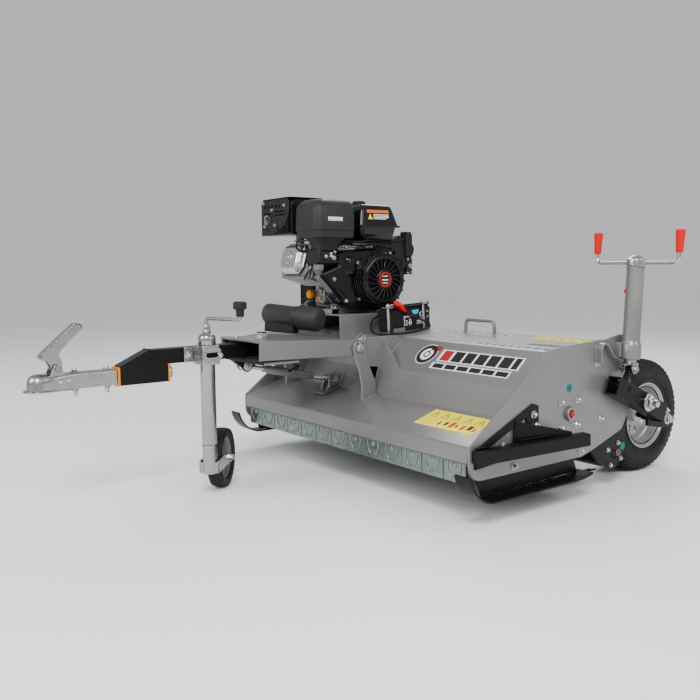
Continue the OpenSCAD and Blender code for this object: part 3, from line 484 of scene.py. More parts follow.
def settle(o, material, body, slot=None, replaces=None, bevel=0.0, seg=2, angle=30, sharp=32):
    """Finishes an object: smooth shading with sharp edges, bevels, material, body and replaced nodes.

    The slot argument is not used. A piece that is called after a node
    with _look behind it replaces that node.
    """
    slot = SLOTS.get(material) if slot is None else slot
    if replaces is None:
        node = o.name.removesuffix("_look")
        replaces = (node,) if node != o.name and node in nodes else ()
    bpy.context.scene.collection.objects.link(o)
    o.data.materials.clear()
    o.data.materials.append(MAT[material])
    o.data.polygons.foreach_set("use_smooth", [True]*len(o.data.polygons))
    o.data.set_sharp_from_angle(angle=math.radians(sharp))
    if bevel:
        b = o.modifiers.new("bevel", "BEVEL")
        b.width = bevel/1000
        b.segments = seg
        b.limit_method = "ANGLE"
        b.angle_limit = math.radians(angle)
        b.use_clamp_overlap = False
        b.miter_outer = "MITER_ARC"
        o.modifiers.new("normals", "WEIGHTED_NORMAL").keep_sharp = True
    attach(o, body)
    if replaces:
        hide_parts(*replaces)
    return o


def dress(node, material, bevel=0.8, **finish):
    """A bevelled copy of a CAD node, which stands for it."""
    src = nodes[node]
    bm = bmesh.new()
    bm.from_mesh(src.data)
    bmesh.ops.remove_doubles(bm, verts=bm.verts, dist=2e-6)
    bmesh.ops.dissolve_limit(bm, angle_limit=0.006, verts=bm.verts, edges=bm.edges)
    bmesh.ops.recalc_face_normals(bm, faces=bm.faces)
    mesh = bpy.data.meshes.new(node + "_look")
    bm.to_mesh(mesh)
    bm.free()
    return settle(bpy.data.objects.new(node + "_look", mesh), material, src["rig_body"], bevel=bevel,
            **finish)


def T(x, y, z):
    return Matrix.Translation((x, y, z))


def R(deg, axis):
    return Matrix.Rotation(math.radians(deg), 4, axis)


def mirror(side):
    """The far side's frame for -1, and no change for 1."""
    return Matrix.Scale(side, 4, (1, 0, 0))


SIDES = (("left", 1), ("right", -1))


# ---------- deck ----------

HALF = 625
HOOD = [(0, 184), (4, 232), (180, 288), (215, 378), (332, 479), (600, 496), (694, 420), (733, 300)]
ROTOR = (437, 279)
CRANK = (422, 686)
ROLLER = (688, 112)
ARM_PIVOT = (765, 286)


def on_face(i, t, out=0.0):
    """A point of the hood's face i, t of the way along it, lifted off by out: (Y, Z)."""
    a, b = Vector(HOOD[i]), Vector(HOOD[i + 1])
    d = (b - a).normalized()
    return (a.lerp(b, t) + Vector((-d.y, d.x))*out)


def decal(x0, x1, face, t0, t1, lift=0.12, thick=0.25):
    """A thin film on a hood face, as a prism across X."""
    a, b = on_face(face, t0, lift), on_face(face, t1, lift)
    c, d = on_face(face, t1, lift + thick), on_face(face, t0, lift + thick)
    return x0, x1 - x0, [tuple(a), tuple(b), tuple(c), tuple(d)]


def film(name, material, parts):
    s = Shape()
    for x, w, outline in parts:
        s.prism("x", x, w, outline)
    return s.piece(name, material, slot="")


def deck():
    dress("deck_shell", "grey", bevel=5, seg=4, angle=20, sharp=50)
    dress("side_plates", "grey", bevel=1.3, angle=28)
    dress("engine_bed", "grey", bevel=1.6, angle=28)
    dress("hitch_brackets", "grey", bevel=1.2, angle=20)
    # Welds
    s = Shape()
    for side in (1, -1):
        x = side*(HALF - 7.5)
        s.weld([(x, y, z + 0.6) for y, z in HOOD[1:]], 1.9)
        s.weld([(side*(HALF + 1), 600, 466), (side*(HALF + 1), 586, 490), (side*(HALF + 1), 566, 468),
                (side*(HALF + 1), 566, 426)], 2.6)
    for x in (-8, -18.5, -29, -40):
        inner = x < -20
        path = ([(184, 296), (217, 381), (322, 472)] if inner else [(121, 270), (179, 288.5)])
        s.weld([(x, y, z) for y, z in path], 2.6)
        far = -508 + (0 if not inner else 22) + (x + 18.5 if not inner else x + 40)
        s.weld([(far, y, z) for y, z in path], 2.6)
    # Gusset edges, near and far
    for apex, low, root in (((80, 215, 380), (22, 181, 291), -30),
            ((-596, 215, 380), (-538, 181, 291), -486)):
        s.weld([(root, 241, 471), apex, low, (root, 183, 297)], 2.8)
        s.weld([(root, 215, 379.5), apex], 2.2)
    for x in (-280, -271, -230):
        s.weld([(x, 130, 272.5), (x, 180, 288.5), (x, 200, 338)], 2.4)
    # Engine bed
    for x in (-292, -284, -600, -592):
        s.weld([(x, 240, 402), (x, 332, 480.5), (x, 518, 492)], 2.3)
    s.weld([(-592, 520.5, 492), (-292, 520.5, 492)], 2.3)
    s.piece("deck_welds", "grey", sharp=60)
    # Turnbuckle's rear lug: its near cheek and the base plate on the apron
    s = Shape()
    s.prism("x", -237, 6, rrect(138, 206, 276, 342, 12, 5), [circle(163, 317, 8.2, 24)[::-1]])
    s.prism("x", -292, 70, [(108, 266), (181, 289), (205, 349), (199, 351), (176, 294), (107, 272)])
    s.weld([(-222, 108, 272), (-222, 178, 294), (-222, 200, 350)], 2.6)
    s.weld([(-290, 107, 271), (-224, 107, 271)], 2.6)
    s.piece("turnbuckle_lug_look", "grey", bevel=1.2)
    # Grab handle
    s = Shape()
    s.tube(rounded([(82, 536, 490), (82, 536, 540), (222, 536, 540), (222, 536, 490)], 20, 8), 6.4, 16)
    for x in (82, 222):
        s.lathe((x, 536, 491.5), "z", [(9.5, 0), (8.6, 1.6), (6.2, 3.4), (5.8, 5)], 24)
    s.piece("grab_handle_look", "grey")
    # Turned-down lip under the front edge
    Shape().box((-HALF + 9, 6, 180), (2*HALF - 18, 3, 8)).piece("front_lip", "grey", bevel=0.6)


def marks_on(face, cells, scale=(1, 1), origin=(0, 0), lift=0.38):
    """Thin printed cells (x0, x1, t0, t1) scaled about an origin and laid on a hood face."""
    (sx, st), (ox, ot) = scale, origin
    return [decal(ox + a*sx, ox + b*sx, face, ot + t0*st, ot + t1*st, lift, 0.1) for a, b, t0, t1 in cells]


def decals():
    # Caution film with generic triangles and bars on the front apron
    x0, x1 = 322, 570
    film("front_film", "yellow", [decal(x0, x1, 1, 0.355, 0.892)])
    cells, red = [], []
    for i in range(5):
        cx = 28 + i*48
        for k in range(7):
            w = 16*(1 - k/7)
            t = 0.60 + k*0.043
            cells += [(cx - w, cx - w + 3.4, t, t + 0.043), (cx + w - 3.4, cx + w, t, t + 0.043)]
        cells += [(cx - 17, cx + 17, 0.585, 0.605), (cx - 2, cx + 2, 0.66, 0.78)]
    for i in range(7):
        cx = 84 + i*24
        w = 9 + 4*(i % 3)
        (red if i in (2, 4, 6) else cells).append((cx, cx + w, 0.13 + 0.06*(i % 2), 0.36 + 0.05*(i % 3)))
    cells += [(4, 244, 0.50, 0.512)] + [(10, 70, 0.12 + 0.11*i, 0.138 + 0.11*i) for i in range(3)]
    film("front_film_marks", "ink", marks_on(1, cells, (1, 0.53), (x0, 0.36)))
    film("front_film_red", "red", marks_on(1, red, (1, 0.53), (x0, 0.36)))
    # Plain stripes where a badge would be, on the sloping front
    film("stripe_pale", "white", [decal(210, 566, 3, 0.415, 0.765), decal(204, 548, 3, 0.195, 0.375)])
    dark = [(222 + 52*i, 266 + 52*i, 0.44, 0.74) for i in range(1, 7)]
    dark[-1] = (534, 558, 0.44, 0.74)
    dark += [(214 + 56*i, 262 + 56*i, 0.22, 0.35) for i in range(6)]
    film("stripe_dark", "ink", marks_on(3, dark))
    film("stripe_red", "dark_red", marks_on(3, [(222, 264, 0.44, 0.74)]))
    # Round mark beside the stripes, with a red bar
    a, b = Vector(HOOD[3]), Vector(HOOD[4])
    u = (b - a).normalized()
    c = a.lerp(b, 0.576)
    turn = Matrix(((1, 0, 0), (0, u.x, -u.y), (0, u.y, u.x))).to_4x4()
    for name, material, rings, z in (("round_mark_pale", "white", ((0, 46),), 0.1),
            ("round_mark", "ink", ((27, 43), (9, 15)), 0.38)):
        s = Shape(T(147, c.x, c.y) @ turn)
        for r0, r1 in rings:
            if r0:
                s.lathe((0, 0, z), "z", [(r0, 0), (r1, 0), (r1, 0.22), (r0, 0.22)], 48, ring=True)
            else:
                s.lathe((0, 0, z), "z", [(0, 0), (r1, 0), (r1, 0.22), (0, 0.22)], 48)
        s.piece(name, material, slot="")
    film("round_mark_bar", "dark_red", marks_on(3, [(150, 196, 0.70, 0.84)]))
    # Printed films on the top plate
    film("top_film", "yellow", [decal(392, 612, 4, 0.72, 0.90)])
    cells = [(400 + i*42, 406 + i*42, 0.745, 0.875) for i in range(6)]
    cells += [(414 + i*42, 434 + i*42, 0.78, 0.84) for i in range(5)]
    film("top_film_marks", "ink", marks_on(4, cells))
    film("top_stripe_pale", "white", [decal(-78, 288, 4, 0.735, 0.84)])
    film("top_stripe", "ink", marks_on(4, [(-72 + i*40, -38 + i*40, 0.75, 0.825) for i in (0, 1, 2, 3, 4, 6,
            7, 8)]))
    film("top_stripe_red", "dark_red", marks_on(4, [(128, 162, 0.75, 0.825)]))
    film("plate_pale", "white", [decal(300, 616, 4, 0.045, 0.165)])
    film("plate_blue", "blue", marks_on(4, [(306 + i*34, 334 + i*34, 0.055, 0.155) for i in range(9)]))
    film("plate_grey", "ink", [decal(474, 600, 4, 0.30, 0.41)])
    film("plate_grey_marks", "grey_plastic", marks_on(4, [(480 + i*20, 490 + i*20, 0.32,
            0.39) for i in range(6)]))
    # Round dots on the near side plate
    Shape().lathe((HALF, 435, 359), "x", [(0, 0.05), (14.5, 0.05), (14.5, 0.4), (0, 0.4)],
            40).piece("dot_film", "teal")
    s = Shape(T(HALF, 435, 359) @ R(35, "X"))
    s.box((0.42, -9, -1.2), (0.12, 18, 2.4))
    s.box((0.42, -1.2, -9), (0.12, 2.4, 7))
    s.piece("dot_film_mark", "ink")


def skids_and_bumper():
    dress("skids", "black", bevel=1.4, seg=3, angle=28)
    s = Shape()
    for side in (1, -1):
        for y0 in range(96, 540, 62):
            s.weld([(side*(HALF - 8.4), y0, 81), (side*(HALF - 8.4), y0 + 34, 81)], 3.4)
            s.weld([(side*(HALF - 0.4), y0 + 14, 81), (side*(HALF - 0.4), y0 + 50, 81)], 3.0)
    s.piece("skid_welds", "black", sharp=60)
    nose, tail = Vector((HALF + 4, 10, 203)), Vector((HALF + 60, 426, 210))
    run = (tail - nose).normalized()
    s = Shape()
    s.prism("x", HALF, 6, [(20, 168), (120, 176), (290, 236), (286, 322), (262, 330), (24, 226)],
            [[(75, 205), (240, 230), (232, 292), (70, 222)][::-1]])
    # Upright web and the floor under it, between the strap and the tube
    web = [(HALF + 4, 181, 288), (HALF + 4, 172, 221), (HALF + 54, 378, 223), (HALF + 54, 378, 240)]
    s.faces(web + [(x + 5, y - 1, z) for x, y, z in web], BLOCK)
    s.prism("z", 222, 4, [(HALF + 5, 30), (HALF + 12, 30), (HALF + 58, 378), (HALF + 5, 200)])
    s.at(T(*nose) @ R(-math.degrees(math.atan2(run.x, run.y)), "Z") @ R(0.96, "X"))
    s.prism("y", 0, 419.5, rrect(-3, 34, -15, 23, 4))
    s.at()
    s.piece("bumper_look", "black", replaces=("side_bumper",), bevel=1.6, seg=3, angle=28)
    s = Shape()
    s.weld([nose + run*8 + Vector((3, 0, 27)), nose + run*60 + Vector((1, 0, 27.5))], 3.0)
    s.weld([(HALF + 7, 184, 290), (HALF + 7, 176, 238)], 2.2)
    s.weld([(HALF + 26, 180, 234), (HALF + 52, 366, 240)], 2.2)
    s.piece("bumper_welds", "black", sharp=60)
    # Plastic plug in the tube's rear end
    s = Shape()
    yaw = -math.degrees(math.atan2(run.x, run.y))
    s.at(T(*(tail - run*1.5)) @ R(yaw, "Z"))
    s.prism("y", -5, 5.5, rrect(1, 30, -11, 19, 3))
    s.piece("bumper_plug", "plastic", bevel=0.8)


def roller_and_bearings():
    dress("roller_brackets", "black", bevel=1.2, angle=28)
    dress("bearing_housings", "alloy", bevel=1.2, angle=28)
    s = Shape()
    for side in (1, -1):
        s.at(mirror(side))
        # Rotor bearing cap and roller bearing cap: red plugs
        if side == 1:
            s.lathe((HALF + 11, ROTOR[0], ROTOR[1]), "x",
                    [(9, 0), (9, 1.6), (7, 2.6), (2.5, 3.2), (0, 3.0)], 28)
        s.lathe((HALF - 9, ROLLER[0] + 22, ROLLER[1] + 2), "x", [(5.5, 0), (5.5, 2), (4, 3.2), (0, 3.4)],
                24)
    s.at()
    s.piece("red_caps", "red")
    s = Shape()
    for side in (1, -1):
        s.at(mirror(side))
        if side == 1:
            s.lathe((HALF, ROTOR[0], ROTOR[1]), "x", [(12, 0.2), (21.4, 0.2), (21.4, 9), (19.6, 11.6),
                    (14, 11.6), (12, 10)], 36, ring=True)
        s.lathe((HALF - 8, ROLLER[0] + 22, ROLLER[1] + 2), "x", [(8, 0), (11, 0), (11, 1.6), (8, 1.6)], 24,
                ring=True)
    s.piece("bearing_rims", "grey", bevel=0.4)
    Shape().lathe((HALF - 7.8, ROLLER[0] + 46, ROLLER[1] + 20), "x", [(0, 0), (13, 0), (13, 0.5), (0, 0.5)],
            28).piece("roller_dot", "teal")
    dress("rear_roller", "black", bevel=1.5, angle=40)


def on_top():
    """The top plate's own axes, from its front edge up the slope."""
    (ya, za), (yb, zb) = HOOD[4], HOOD[5]
    return T(0, ya, za) @ R(math.degrees(math.atan2(zb - za, yb - ya)), "X")


def fasteners():
    s = Shape()
    for side in (1, -1):
        s.at(mirror(side))
        for a in range(45, 360, 90):
            t = math.radians(a)
            s.bolt((HALF, ROTOR[0] + 56*math.cos(t), ROTOR[1] + 56*math.sin(t)), OUT, 8.8, 5)
        for y, z in ((187, 153), (498, 152), (597, 244), (570, 424)):
            s.bolt((HALF, y, z), OUT, 8.8, 6)
        for k in range(4):
            t = math.radians(62 + 90*k)
            s.bolt((HALF - 8, ROLLER[0] + 40*math.cos(t), ROLLER[1] + 40*math.sin(t)), OUT, 6, 1.5)
        # Arm pivot: stepped shaft end with a big nut
        s.rod((HALF - 16, *ARM_PIVOT), "x", 16, 16 + 92 - 6, 32)
        s.lathe((HALF + 60, *ARM_PIVOT), "x", [(0, 0), (25, 0), (25, 4), (23, 6), (0, 6)], 36)
        s.bolt((HALF + 66, *ARM_PIVOT), OUT, 22, 9)
        s.lathe((HALF + 88, *ARM_PIVOT), "x", [(12, 0), (12.5, 1), (12.5, 10), (9, 12), (0, 12.6)], 28)
    s.at()
    for y, z in ((262, 298), (276, 262), (133, 222)):
        s.bolt((HALF + 6, y, z), OUT, 8.8, 5)
    s.rod((-HALF + 8, 22, 214), "x", 6, 2*HALF - 16, 16)
    # Tongue pins: domed heads, and a clip ring through the near one
    for x in (-42, -512):
        s.rod((x, 110, 457), "x", 12.5, 38, 28, 1.5)
    s.lathe((-6, 110, 457), "x", [(0, 0), (15, 0), (15, 3), (13.5, 4), (13.5, 9), (11, 11), (0, 12)], 32)
    # Turnbuckle's rear pin with its nut
    s.rod((-282, 163, 317), "x", 8, 52, 24)
    s.bolt((-230.6, 163, 317), OUT, 13.5, 4)
    for x, y in ((-361, 250), (-578, 250), (-361, 506), (-578, 506)):
        s.bolt((x, y, 575), UP, 8.4, 5)
    s.at(on_top())
    for y in (38, 216):
        s.rod((-160, y, 0.4), "z", 5.3, 110, 20)
        s.box((-178, y - 15, 98.6), (34, 30, 3.2))
        s.bolt((-160, y, 101.8), UP, 9, 4)
    s.at()
    s.piece("deck_fasteners_look", "zinc")
    # R clip on the tongue pin
    s = Shape()
    path = smooth_path([(0, 104, 446), (0, 108, 468), (0, 113, 488), (0, 120, 500), (0, 127, 496),
            (0, 126, 486), (0, 119, 480), (0, 112, 484), (0, 108, 492), (0, 104, 484), (0, 106, 470)], 5)
    s.tube(path, 1.7, 10)
    s.piece("r_clip", "zinc")


def belt_guard():
    dress("belt_guard", "black", bevel=1.0, angle=35)
    dress("drive_belts", "rubber", angle=35)
    s = Shape()
    for y, z in ((376, 210), (520, 210), (376, 776), (520, 776), (356, 492), (540, 492)):
        s.bolt((-HALF - 98, y, z), INWARD, 6)
    s.piece("guard_bolts", "zinc")
    # Rolled edge round the guard's cover
    s = Shape()
    outline = [(344 + y, 190 + z) for y, z in rrect(0, 208, 0, 606, 60, 8)]
    for x in (-HALF - 96, -HALF - 3):
        ring = [(x, y, z) for y, z in outline]
        s.tube(ring + [ring[0]], 2.4, 8)
    s.piece("guard_rim", "black")


deck()
decals()
skids_and_bumper()
roller_and_bearings()
fasteners()
belt_guard()


# ---------- flaps, curtain, rotor ----------

def flaps():
    count, span = 13, 2*HALF - 46
    pitch = span/count
    s, e = Shape(), Shape()
    for i in range(count):
        x0 = -span/2 + i*pitch
        x1 = x0 + pitch
        s.prism("x", x0 + 2, pitch - 4, [(12, 120.5), (16, 120.5), (16, 214)] + circle(22, 214, 6.3, 14,
                180, -120) + circle(22, 214, 10, 14, -120, 180) + [(12, 214)])
        # Pressed outline of a hanging shield, in a lighter copy of the flap's zinc as a painted highlight
        c = (x0 + x1)/2
        path = rounded([(c - 24, 11.6, 205), (c - 27, 11.6, 162), (c - 15, 11.6, 134), (c + 15, 11.6, 134),
                (c + 27, 11.6, 162), (c + 24, 11.6, 205)], 12, 4)
        e.tube(path, 2.2, 8)
        e.lathe((c, 12, 170), AXES["y"] @ R(180, "X"), [(9, -0.4), (8, 1.6), (5, 2.6), (0, 2.8)], 20)
    s.piece("front_flaps_look", "flap", "front_flaps", bevel=0.8, sharp=40)
    e.piece("front_flaps_pressing", "flap_highlight", "front_flaps", sharp=60)


def curtain():
    reach = 625 - 56 - 165 - 14
    s = Shape()
    n, rows = 96, 8
    v, f = [], []
    for k in range(rows + 1):
        z = 291 - 121*k/rows
        for i in range(n + 1):
            x = -reach + 2*reach*i/n
            wave = 1.5*math.sin(i*0.9)*(k/rows)
            v.append((x, 724.6 + wave, z))
            v.append((x, 729.2 + wave, z))
    w = 2*(n + 1)
    for k in range(rows):
        for i in range(n):
            a = k*w + 2*i
            f.append((a, a + 2, a + w + 2, a + w))
            f.append((a + 1, a + w + 1, a + w + 3, a + 3))
        f.append((k*w, k*w + w, k*w + w + 1, k*w + 1))
        e = k*w + 2*n
        f.append((e, e + 1, e + w + 1, e + w))
    for i in range(n):
        f.append((2*i, 2*i + 1, 2*i + 3, 2*i + 2))
        b = rows*w + 2*i
        f.append((b, b + 2, b + 3, b + 1))
    s.faces(v, f)
    s.rod((-reach, 727, 292), "x", 4, 2*reach, 16)
    s.piece("rear_curtain_look", "rubber", "rear_curtain", sharp=50)
    # Steel strip that holds the curtain, on the curtain itself
    s = Shape()
    s.box((-reach + 2, 729.4, 262), (2*reach - 4, 2.2, 18))
    for i in range(9):
        s.bolt((-reach + 30 + i*(2*reach - 60)/8, 731.6, 271), AFT, 5)
    s.piece("curtain_strip", "zinc", "rear_curtain", bevel=0.5)


def rotor_parts():
    dress("rotor", "black", angle=35)
    for n in ("flails_a", "flails_b"):
        dress(n, "black", bevel=1.5, angle=35)
    dress("engine_pulley", "alloy", slot="galvanised", angle=35)


# ---------- wheels, arms, jacks ----------

WHEEL = (486.5, 958, 201)
ARM_X, ARM_W, JACK_X = 635, 48, 659
JACK_PIN = (698, 400)
LEAN = 3.4                       # degrees the jack leans
CAP_Z = 331                      # crank cap above the clevis pin
GRIP_X = 147                     # half the span between the crank's grips


def wheel(name, side):
    flip = mirror(side)
    hub = flip @ T(*WHEEL) @ AXES["x"]
    s = Shape(hub)
    # Deep dish rim: flange, bead seat, drop centre, dish and hub, as one turned skin
    outer = [(115, 68.5), (117, 71), (116.5, 73.5), (113, 74), (110.5, 71), (108.5, 66.5), (101, 63),
            (99.6, 52), (99.2, 34), (92, 27), (90.5, 12), (86, 5), (74, 2), (66, 7), (54, 9), (44, 7.5),
            (38, 4), (31, 4), (28.5, 8), (28, 36), (26.5, 39), (17, 40.5), (12.1, 40.5)]
    inner = [(12.1, -58), (27, -58), (28, -55), (28.2, -6), (40, -3), (60, 0), (78, -4), (88, -7),
            (92, -14), (97, -24), (97, -60), (101, -63), (108.5, -66.5), (110.5, -71), (113, -74),
            (116.5, -73.5), (117, -71), (115, -68.5), (106, -66), (101, -58), (94.5, -28), (94.5, 20),
            (101, 58), (106, 66)]
    s.turn(outer + inner, 96, ring=True)
    # Pressed radial ribs of the dish
    for k in range(4):
        s.at(hub @ R(45 + 90*k, "Z"))
        s.loft([(44, rrect(-9, 9, 2, 9.5, 3, 3)), (66, rrect(-15, 15, 2, 12, 4, 3)),
                (86, rrect(-20, 20, 0, 9, 4, 3))], "x")
    s.piece(name + "_rim_look", "rim", name + "_wheel", bevel=0.5, angle=40, sharp=38)
    s = Shape()
    for k in range(4):
        t = math.radians(90*k)
        s.at(flip)
        s.bolt((WHEEL[0] + 8.5, WHEEL[1] + 52*math.cos(t), WHEEL[2] + 52*math.sin(t)), OUT, 8.5, 3)
    s.at(hub)
    s.lathe((0, 0, 40.6), "z", [(12.2, 0), (19, 0), (19, 2.5), (17, 3.6), (12.2, 3.6)], 32, ring=True)
    # Valve
    s.at(hub @ R(200, "Z"))
    s.tube([(92, 0, 30), (90, 0, 44), (88, 0, 58)], [4, 3, 2.6], 12)
    s.piece(name + "_wheel_bolts", "zinc", name + "_wheel")
    tyre(name, hub)


def tyre(name, hub):
    s = Shape(hub)
    half = [(116.5, 66), (118, 74), (124, 78.5), (134, 81.2), (148, 82.4), (160, 82.0), (170, 80),
            (179, 76.4), (186, 71)]
    crown = [(191, 64.5), (194.6, 52), (196.4, 32), (197, 10)]
    side = half + crown
    prof = [(r, -z) for r, z in reversed(side)]
    prof = [(r, z) for r, z in side] + [(r, z) for r, z in prof]
    bead = [(101.5, -66), (101.5, 66)]
    s.turn(prof + [(112, -65.8)] + bead + [(112, 65.8)], 120, ring=True)
    # Raised sidewall rings
    for z in (1, -1):
        for r in (130, 142):
            s.turn([(r, z*80.4), (r + 2.4, z*80.6), (r + 2.4, z*82.9), (r, z*82.7)], 120, ring=True)
    s.piece(name + "_tyre_body", "tyre", name + "_wheel", replaces=(name + "_tyre",), sharp=40)
    # Turf tread: small blocks in staggered rows, and short lugs over the shoulder
    s = Shape()
    count = 54
    rows = ((-10, 10, 195, 200.6, 24, 0), (14, 31, 195, 200.3, -22, 1), (-31, -14, 195, 200.3, 22, 1),
            (35, 50, 193, 199.2, 26, 0), (-50, -35, 193, 199.2, -26, 0), (53, 65, 189, 196.4, -14, 1),
            (-65, -53, 189, 196.4, 14, 1))
    for k in range(count):
        a = 360*k/count
        for z0, z1, r0, r1, twist, odd in rows:
            s.at(hub @ R(a + odd*180/count, "Z"))
            zc, w = (z0 + z1)/2, (z1 - z0)/2
            m = T(0, 0, zc) @ R(twist, "X")
            tilt = 0 if abs(zc) < 30 else math.copysign(1.4 if abs(zc) < 52 else 2.6, zc)
            v = []
            for r, e in ((r0, 1.0), (r1, 0.88)):
                for y, z in ((-7.6*e, -w*e), (7.6*e, -w*e), (7.6*e, w*e), (-7.6*e, w*e)):
                    v.append((r - tilt*z/w, y, z))
            s.faces(v, [(0, 3, 2, 1), (4, 5, 6, 7), (0, 1, 5, 4), (1, 2, 6, 5), (2, 3, 7, 6), (3, 0, 4, 7)],
                    m)
        for z in (1, -1):
            s.at(hub @ R(a + 2, "Z"))
            v = [(176, -4.6, 76*z), (176, 4.6, 76*z), (190, 5.6, 64*z), (190, -5.6, 64*z),
                    (177, -3.6, 80*z), (177, 3.6, 80*z), (193.4, 4.6, 68*z), (193.4, -4.6, 68*z)]
            s.faces(v, BLOCK)
    s.piece(name + "_tyre_tread", "tyre", name + "_wheel", bevel=0.8, angle=35)


def jack(name, side):
    flip = mirror(side)
    base = flip @ T(JACK_X, *JACK_PIN) @ R(-LEAN, "X")
    s = Shape(base)
    s.turn([(20.4, 32), (30.5, 32), (33, 34.5), (33, 78), (31.5, 82), (28.2, 88), (27.6, 92), (27.6, 318),
            (28.8, 320), (28.8, 329), (27.5, 330), (12.2, 330), (12.2, 320), (20.4, 316)], 56, ring=True)
    s.piece(name + "_jack_tube", "grey", replaces=("jack_tubes",) if side == 1 else (), sharp=40)
    # Red plug on the tube
    s = Shape(base @ R(-38, "Z") @ T(0, -27, 250) @ R(90, "X"))
    s.turn([(6.5, 0), (6.5, 3), (4.5, 5.5), (0, 6)], 20)
    s.piece(name + "_jack_plug", "red")
    # Crank: cap with a rivet, rod with bent ends, grips
    s = Shape(base @ T(0, 0, CAP_Z))
    s.turn([(10, 0), (28.5, 0), (29.5, 1), (29.5, 18), (28, 21), (24, 23), (20, 29), (14, 33), (8, 34.5),
            (0, 35)], 48)
    s.rod((0, 0, -230), "z", 11, 231, 24)
    # Two pressed ears hold the rod
    for y in (-29.5, 29.5):
        s.lathe((0, y, 10), AXES["y"] @ (R(180, "X") if y < 0 else Matrix.Identity(4)),
                [(0, -1), (9, -1), (9, 0.8), (6.5, 2), (0, 2.2)], 24)
    s.piece(name + "_crank_cap", "zinc", name + "_crank", slot="galvanised", replaces=(name + "_crank",),
            bevel=0.4, sharp=36)
    s = Shape(base @ T(0, 0, CAP_Z))
    rod_z = 10
    s.tube(rounded([(-GRIP_X, 0, rod_z + 44), (-GRIP_X, 0, rod_z), (GRIP_X, 0, rod_z),
            (GRIP_X, 0, rod_z + 44)], 20, 8), 5.8, 20)
    s.piece(name + "_crank_rod", "zinc", name + "_crank", slot="galvanised")
    s = Shape()
    for x in (-GRIP_X, GRIP_X):
        s.at(base @ T(x, 0, CAP_Z + rod_z))
        s.turn([(8.5, 30), (10.6, 31), (11.2, 34), (12.0, 60), (13.8, 84), (14.6, 93), (14.2, 98),
                (12.5, 100.6), (0, 101)], 36)
        # Shallow finger flats moulded in the grip
        for k in range(6):
            s.at(base @ T(x, 0, CAP_Z + rod_z) @ R(60*k, "Z"))
            s.tube([(11.0, 0, 44), (12.2, 0, 66), (13.4, 0, 88)], [0.5, 0.9, 0.5], 6)
    s.piece(name + "_crank_grips", "red", name + "_crank")
    # Ram with its clevis
    s = Shape(base)
    s.turn([(0, 14), (21, 14), (22, 15), (22, 21), (20, 22.5), (20, 172), (19, 174), (12, 174), (12, 60),
            (0, 60)], 40)
    for x in (-22, 16):
        s.prism("x", x, 6, [(-16, 20)] + circle(0, 0, 16, 14, 180, 360) + [(16, 20)],
                [circle(0, 0, 6.2, 16)])
    s.rod((-26, 0, 0), "x", 6, 52, 24)
    s.bolt((22, 0, 0), OUT, 9, 3)
    s.bolt((-22, 0, 0), INWARD, 9)
    s.piece(name + "_ram_look", "hot_zinc", name + "_ram", bevel=0.6)
    dress(name + "_link", "black", bevel=1.0)


def arm(name, side):
    dress(name + "_arm", "black", bevel=1.6, seg=3, angle=28)
    flip = mirror(side)
    s = Shape(flip)
    # Axle end with its washer and nut, and the arm's own bolts
    s.lathe((WHEEL[0] + 124, WHEEL[1], WHEEL[2]), "x", [(0, 0), (24, 0), (24, 4), (22, 5.5), (0, 5.5)], 36)
    s.bolt((ARM_X + 7, 900, 250), OUT, 9, 5)
    s.bolt((ARM_X + 7, 948, 232), OUT, 9, 5)
    s.bolt((ARM_X + 7, WHEEL[1], WHEEL[2]), OUT, 15, 7)
    s.piece(name + "_arm_bolts", "zinc", name + "_arm")
    s = Shape(flip @ T(ARM_X, *ARM_PIVOT) @ R(-23.77, "X"))
    for z in (-30.5, 30.5):
        s.weld([(1, 120, z), (47, 120, z)], 3)
    s.weld([(1, 126, -28), (1, 126, 28)], 3)
    s.piece(name + "_arm_welds", "black", name + "_arm", sharp=60)


flaps()
curtain()
rotor_parts()
for side_name, sign in SIDES:
    wheel(side_name, sign)
    jack(side_name, sign)
    arm(side_name, sign)


# ---------- hitch ----------

DRAW_X, SWIVEL_Z = -190, 411
SOCKET_Y = -916
TURNBUCKLE_X = -258
BUCKLE_REAR, BUCKLE_FRONT = (163, 317), (-204, 398)
LEVER_PIN = (-868, 452)


def tongue():
    dress("tongue_frame", "grey", bevel=1.3, seg=3, angle=28)
    s = Shape()
    def top(y):
        return 485.6 + (72 - y)*math.tan(math.radians(2.54))
    s.weld([(-28, -276, top(-276)), (-28, 66, top(66))], 1.6)
    s.weld([(-282, -276, top(-276)), (-282, -190, top(-190)), (-494, 28, top(28))], 1.6)
    s.weld([(-27, -255, 428), (-27, -140, 428)], 2.4)
    for x in (-279, -271, -245, -237):
        s.weld([(x, -250, 423.5), (x, -150, 423.5)], 2.2)
    s.piece("tongue_welds", "grey", "tongue", sharp=60)
    s = Shape()
    s.bolt((-233, *BUCKLE_FRONT), OUT, 12.5, 5)
    s.bolt((-283, *BUCKLE_FRONT), INWARD, 12.5)
    s.bolt((-206, -262, 500.6), UP, 7, 3)
    s.piece("tongue_bolts", "zinc", "tongue")
    # Dark face of the turnbuckle's front lug and the strap's edge
    s = Shape()
    s.prism("x", -237, 1.8, [(-264, 430)] + circle(*BUCKLE_FRONT, 20.4, 16, 205, 335) + [(-136, 430)],
            [circle(*BUCKLE_FRONT, 9, 20)[::-1]])
    s.box((-281, -263.6, 423.4), (251, 2.2, 9.6))
    s.piece("tongue_lug_face", "black", "tongue", bevel=0.5)


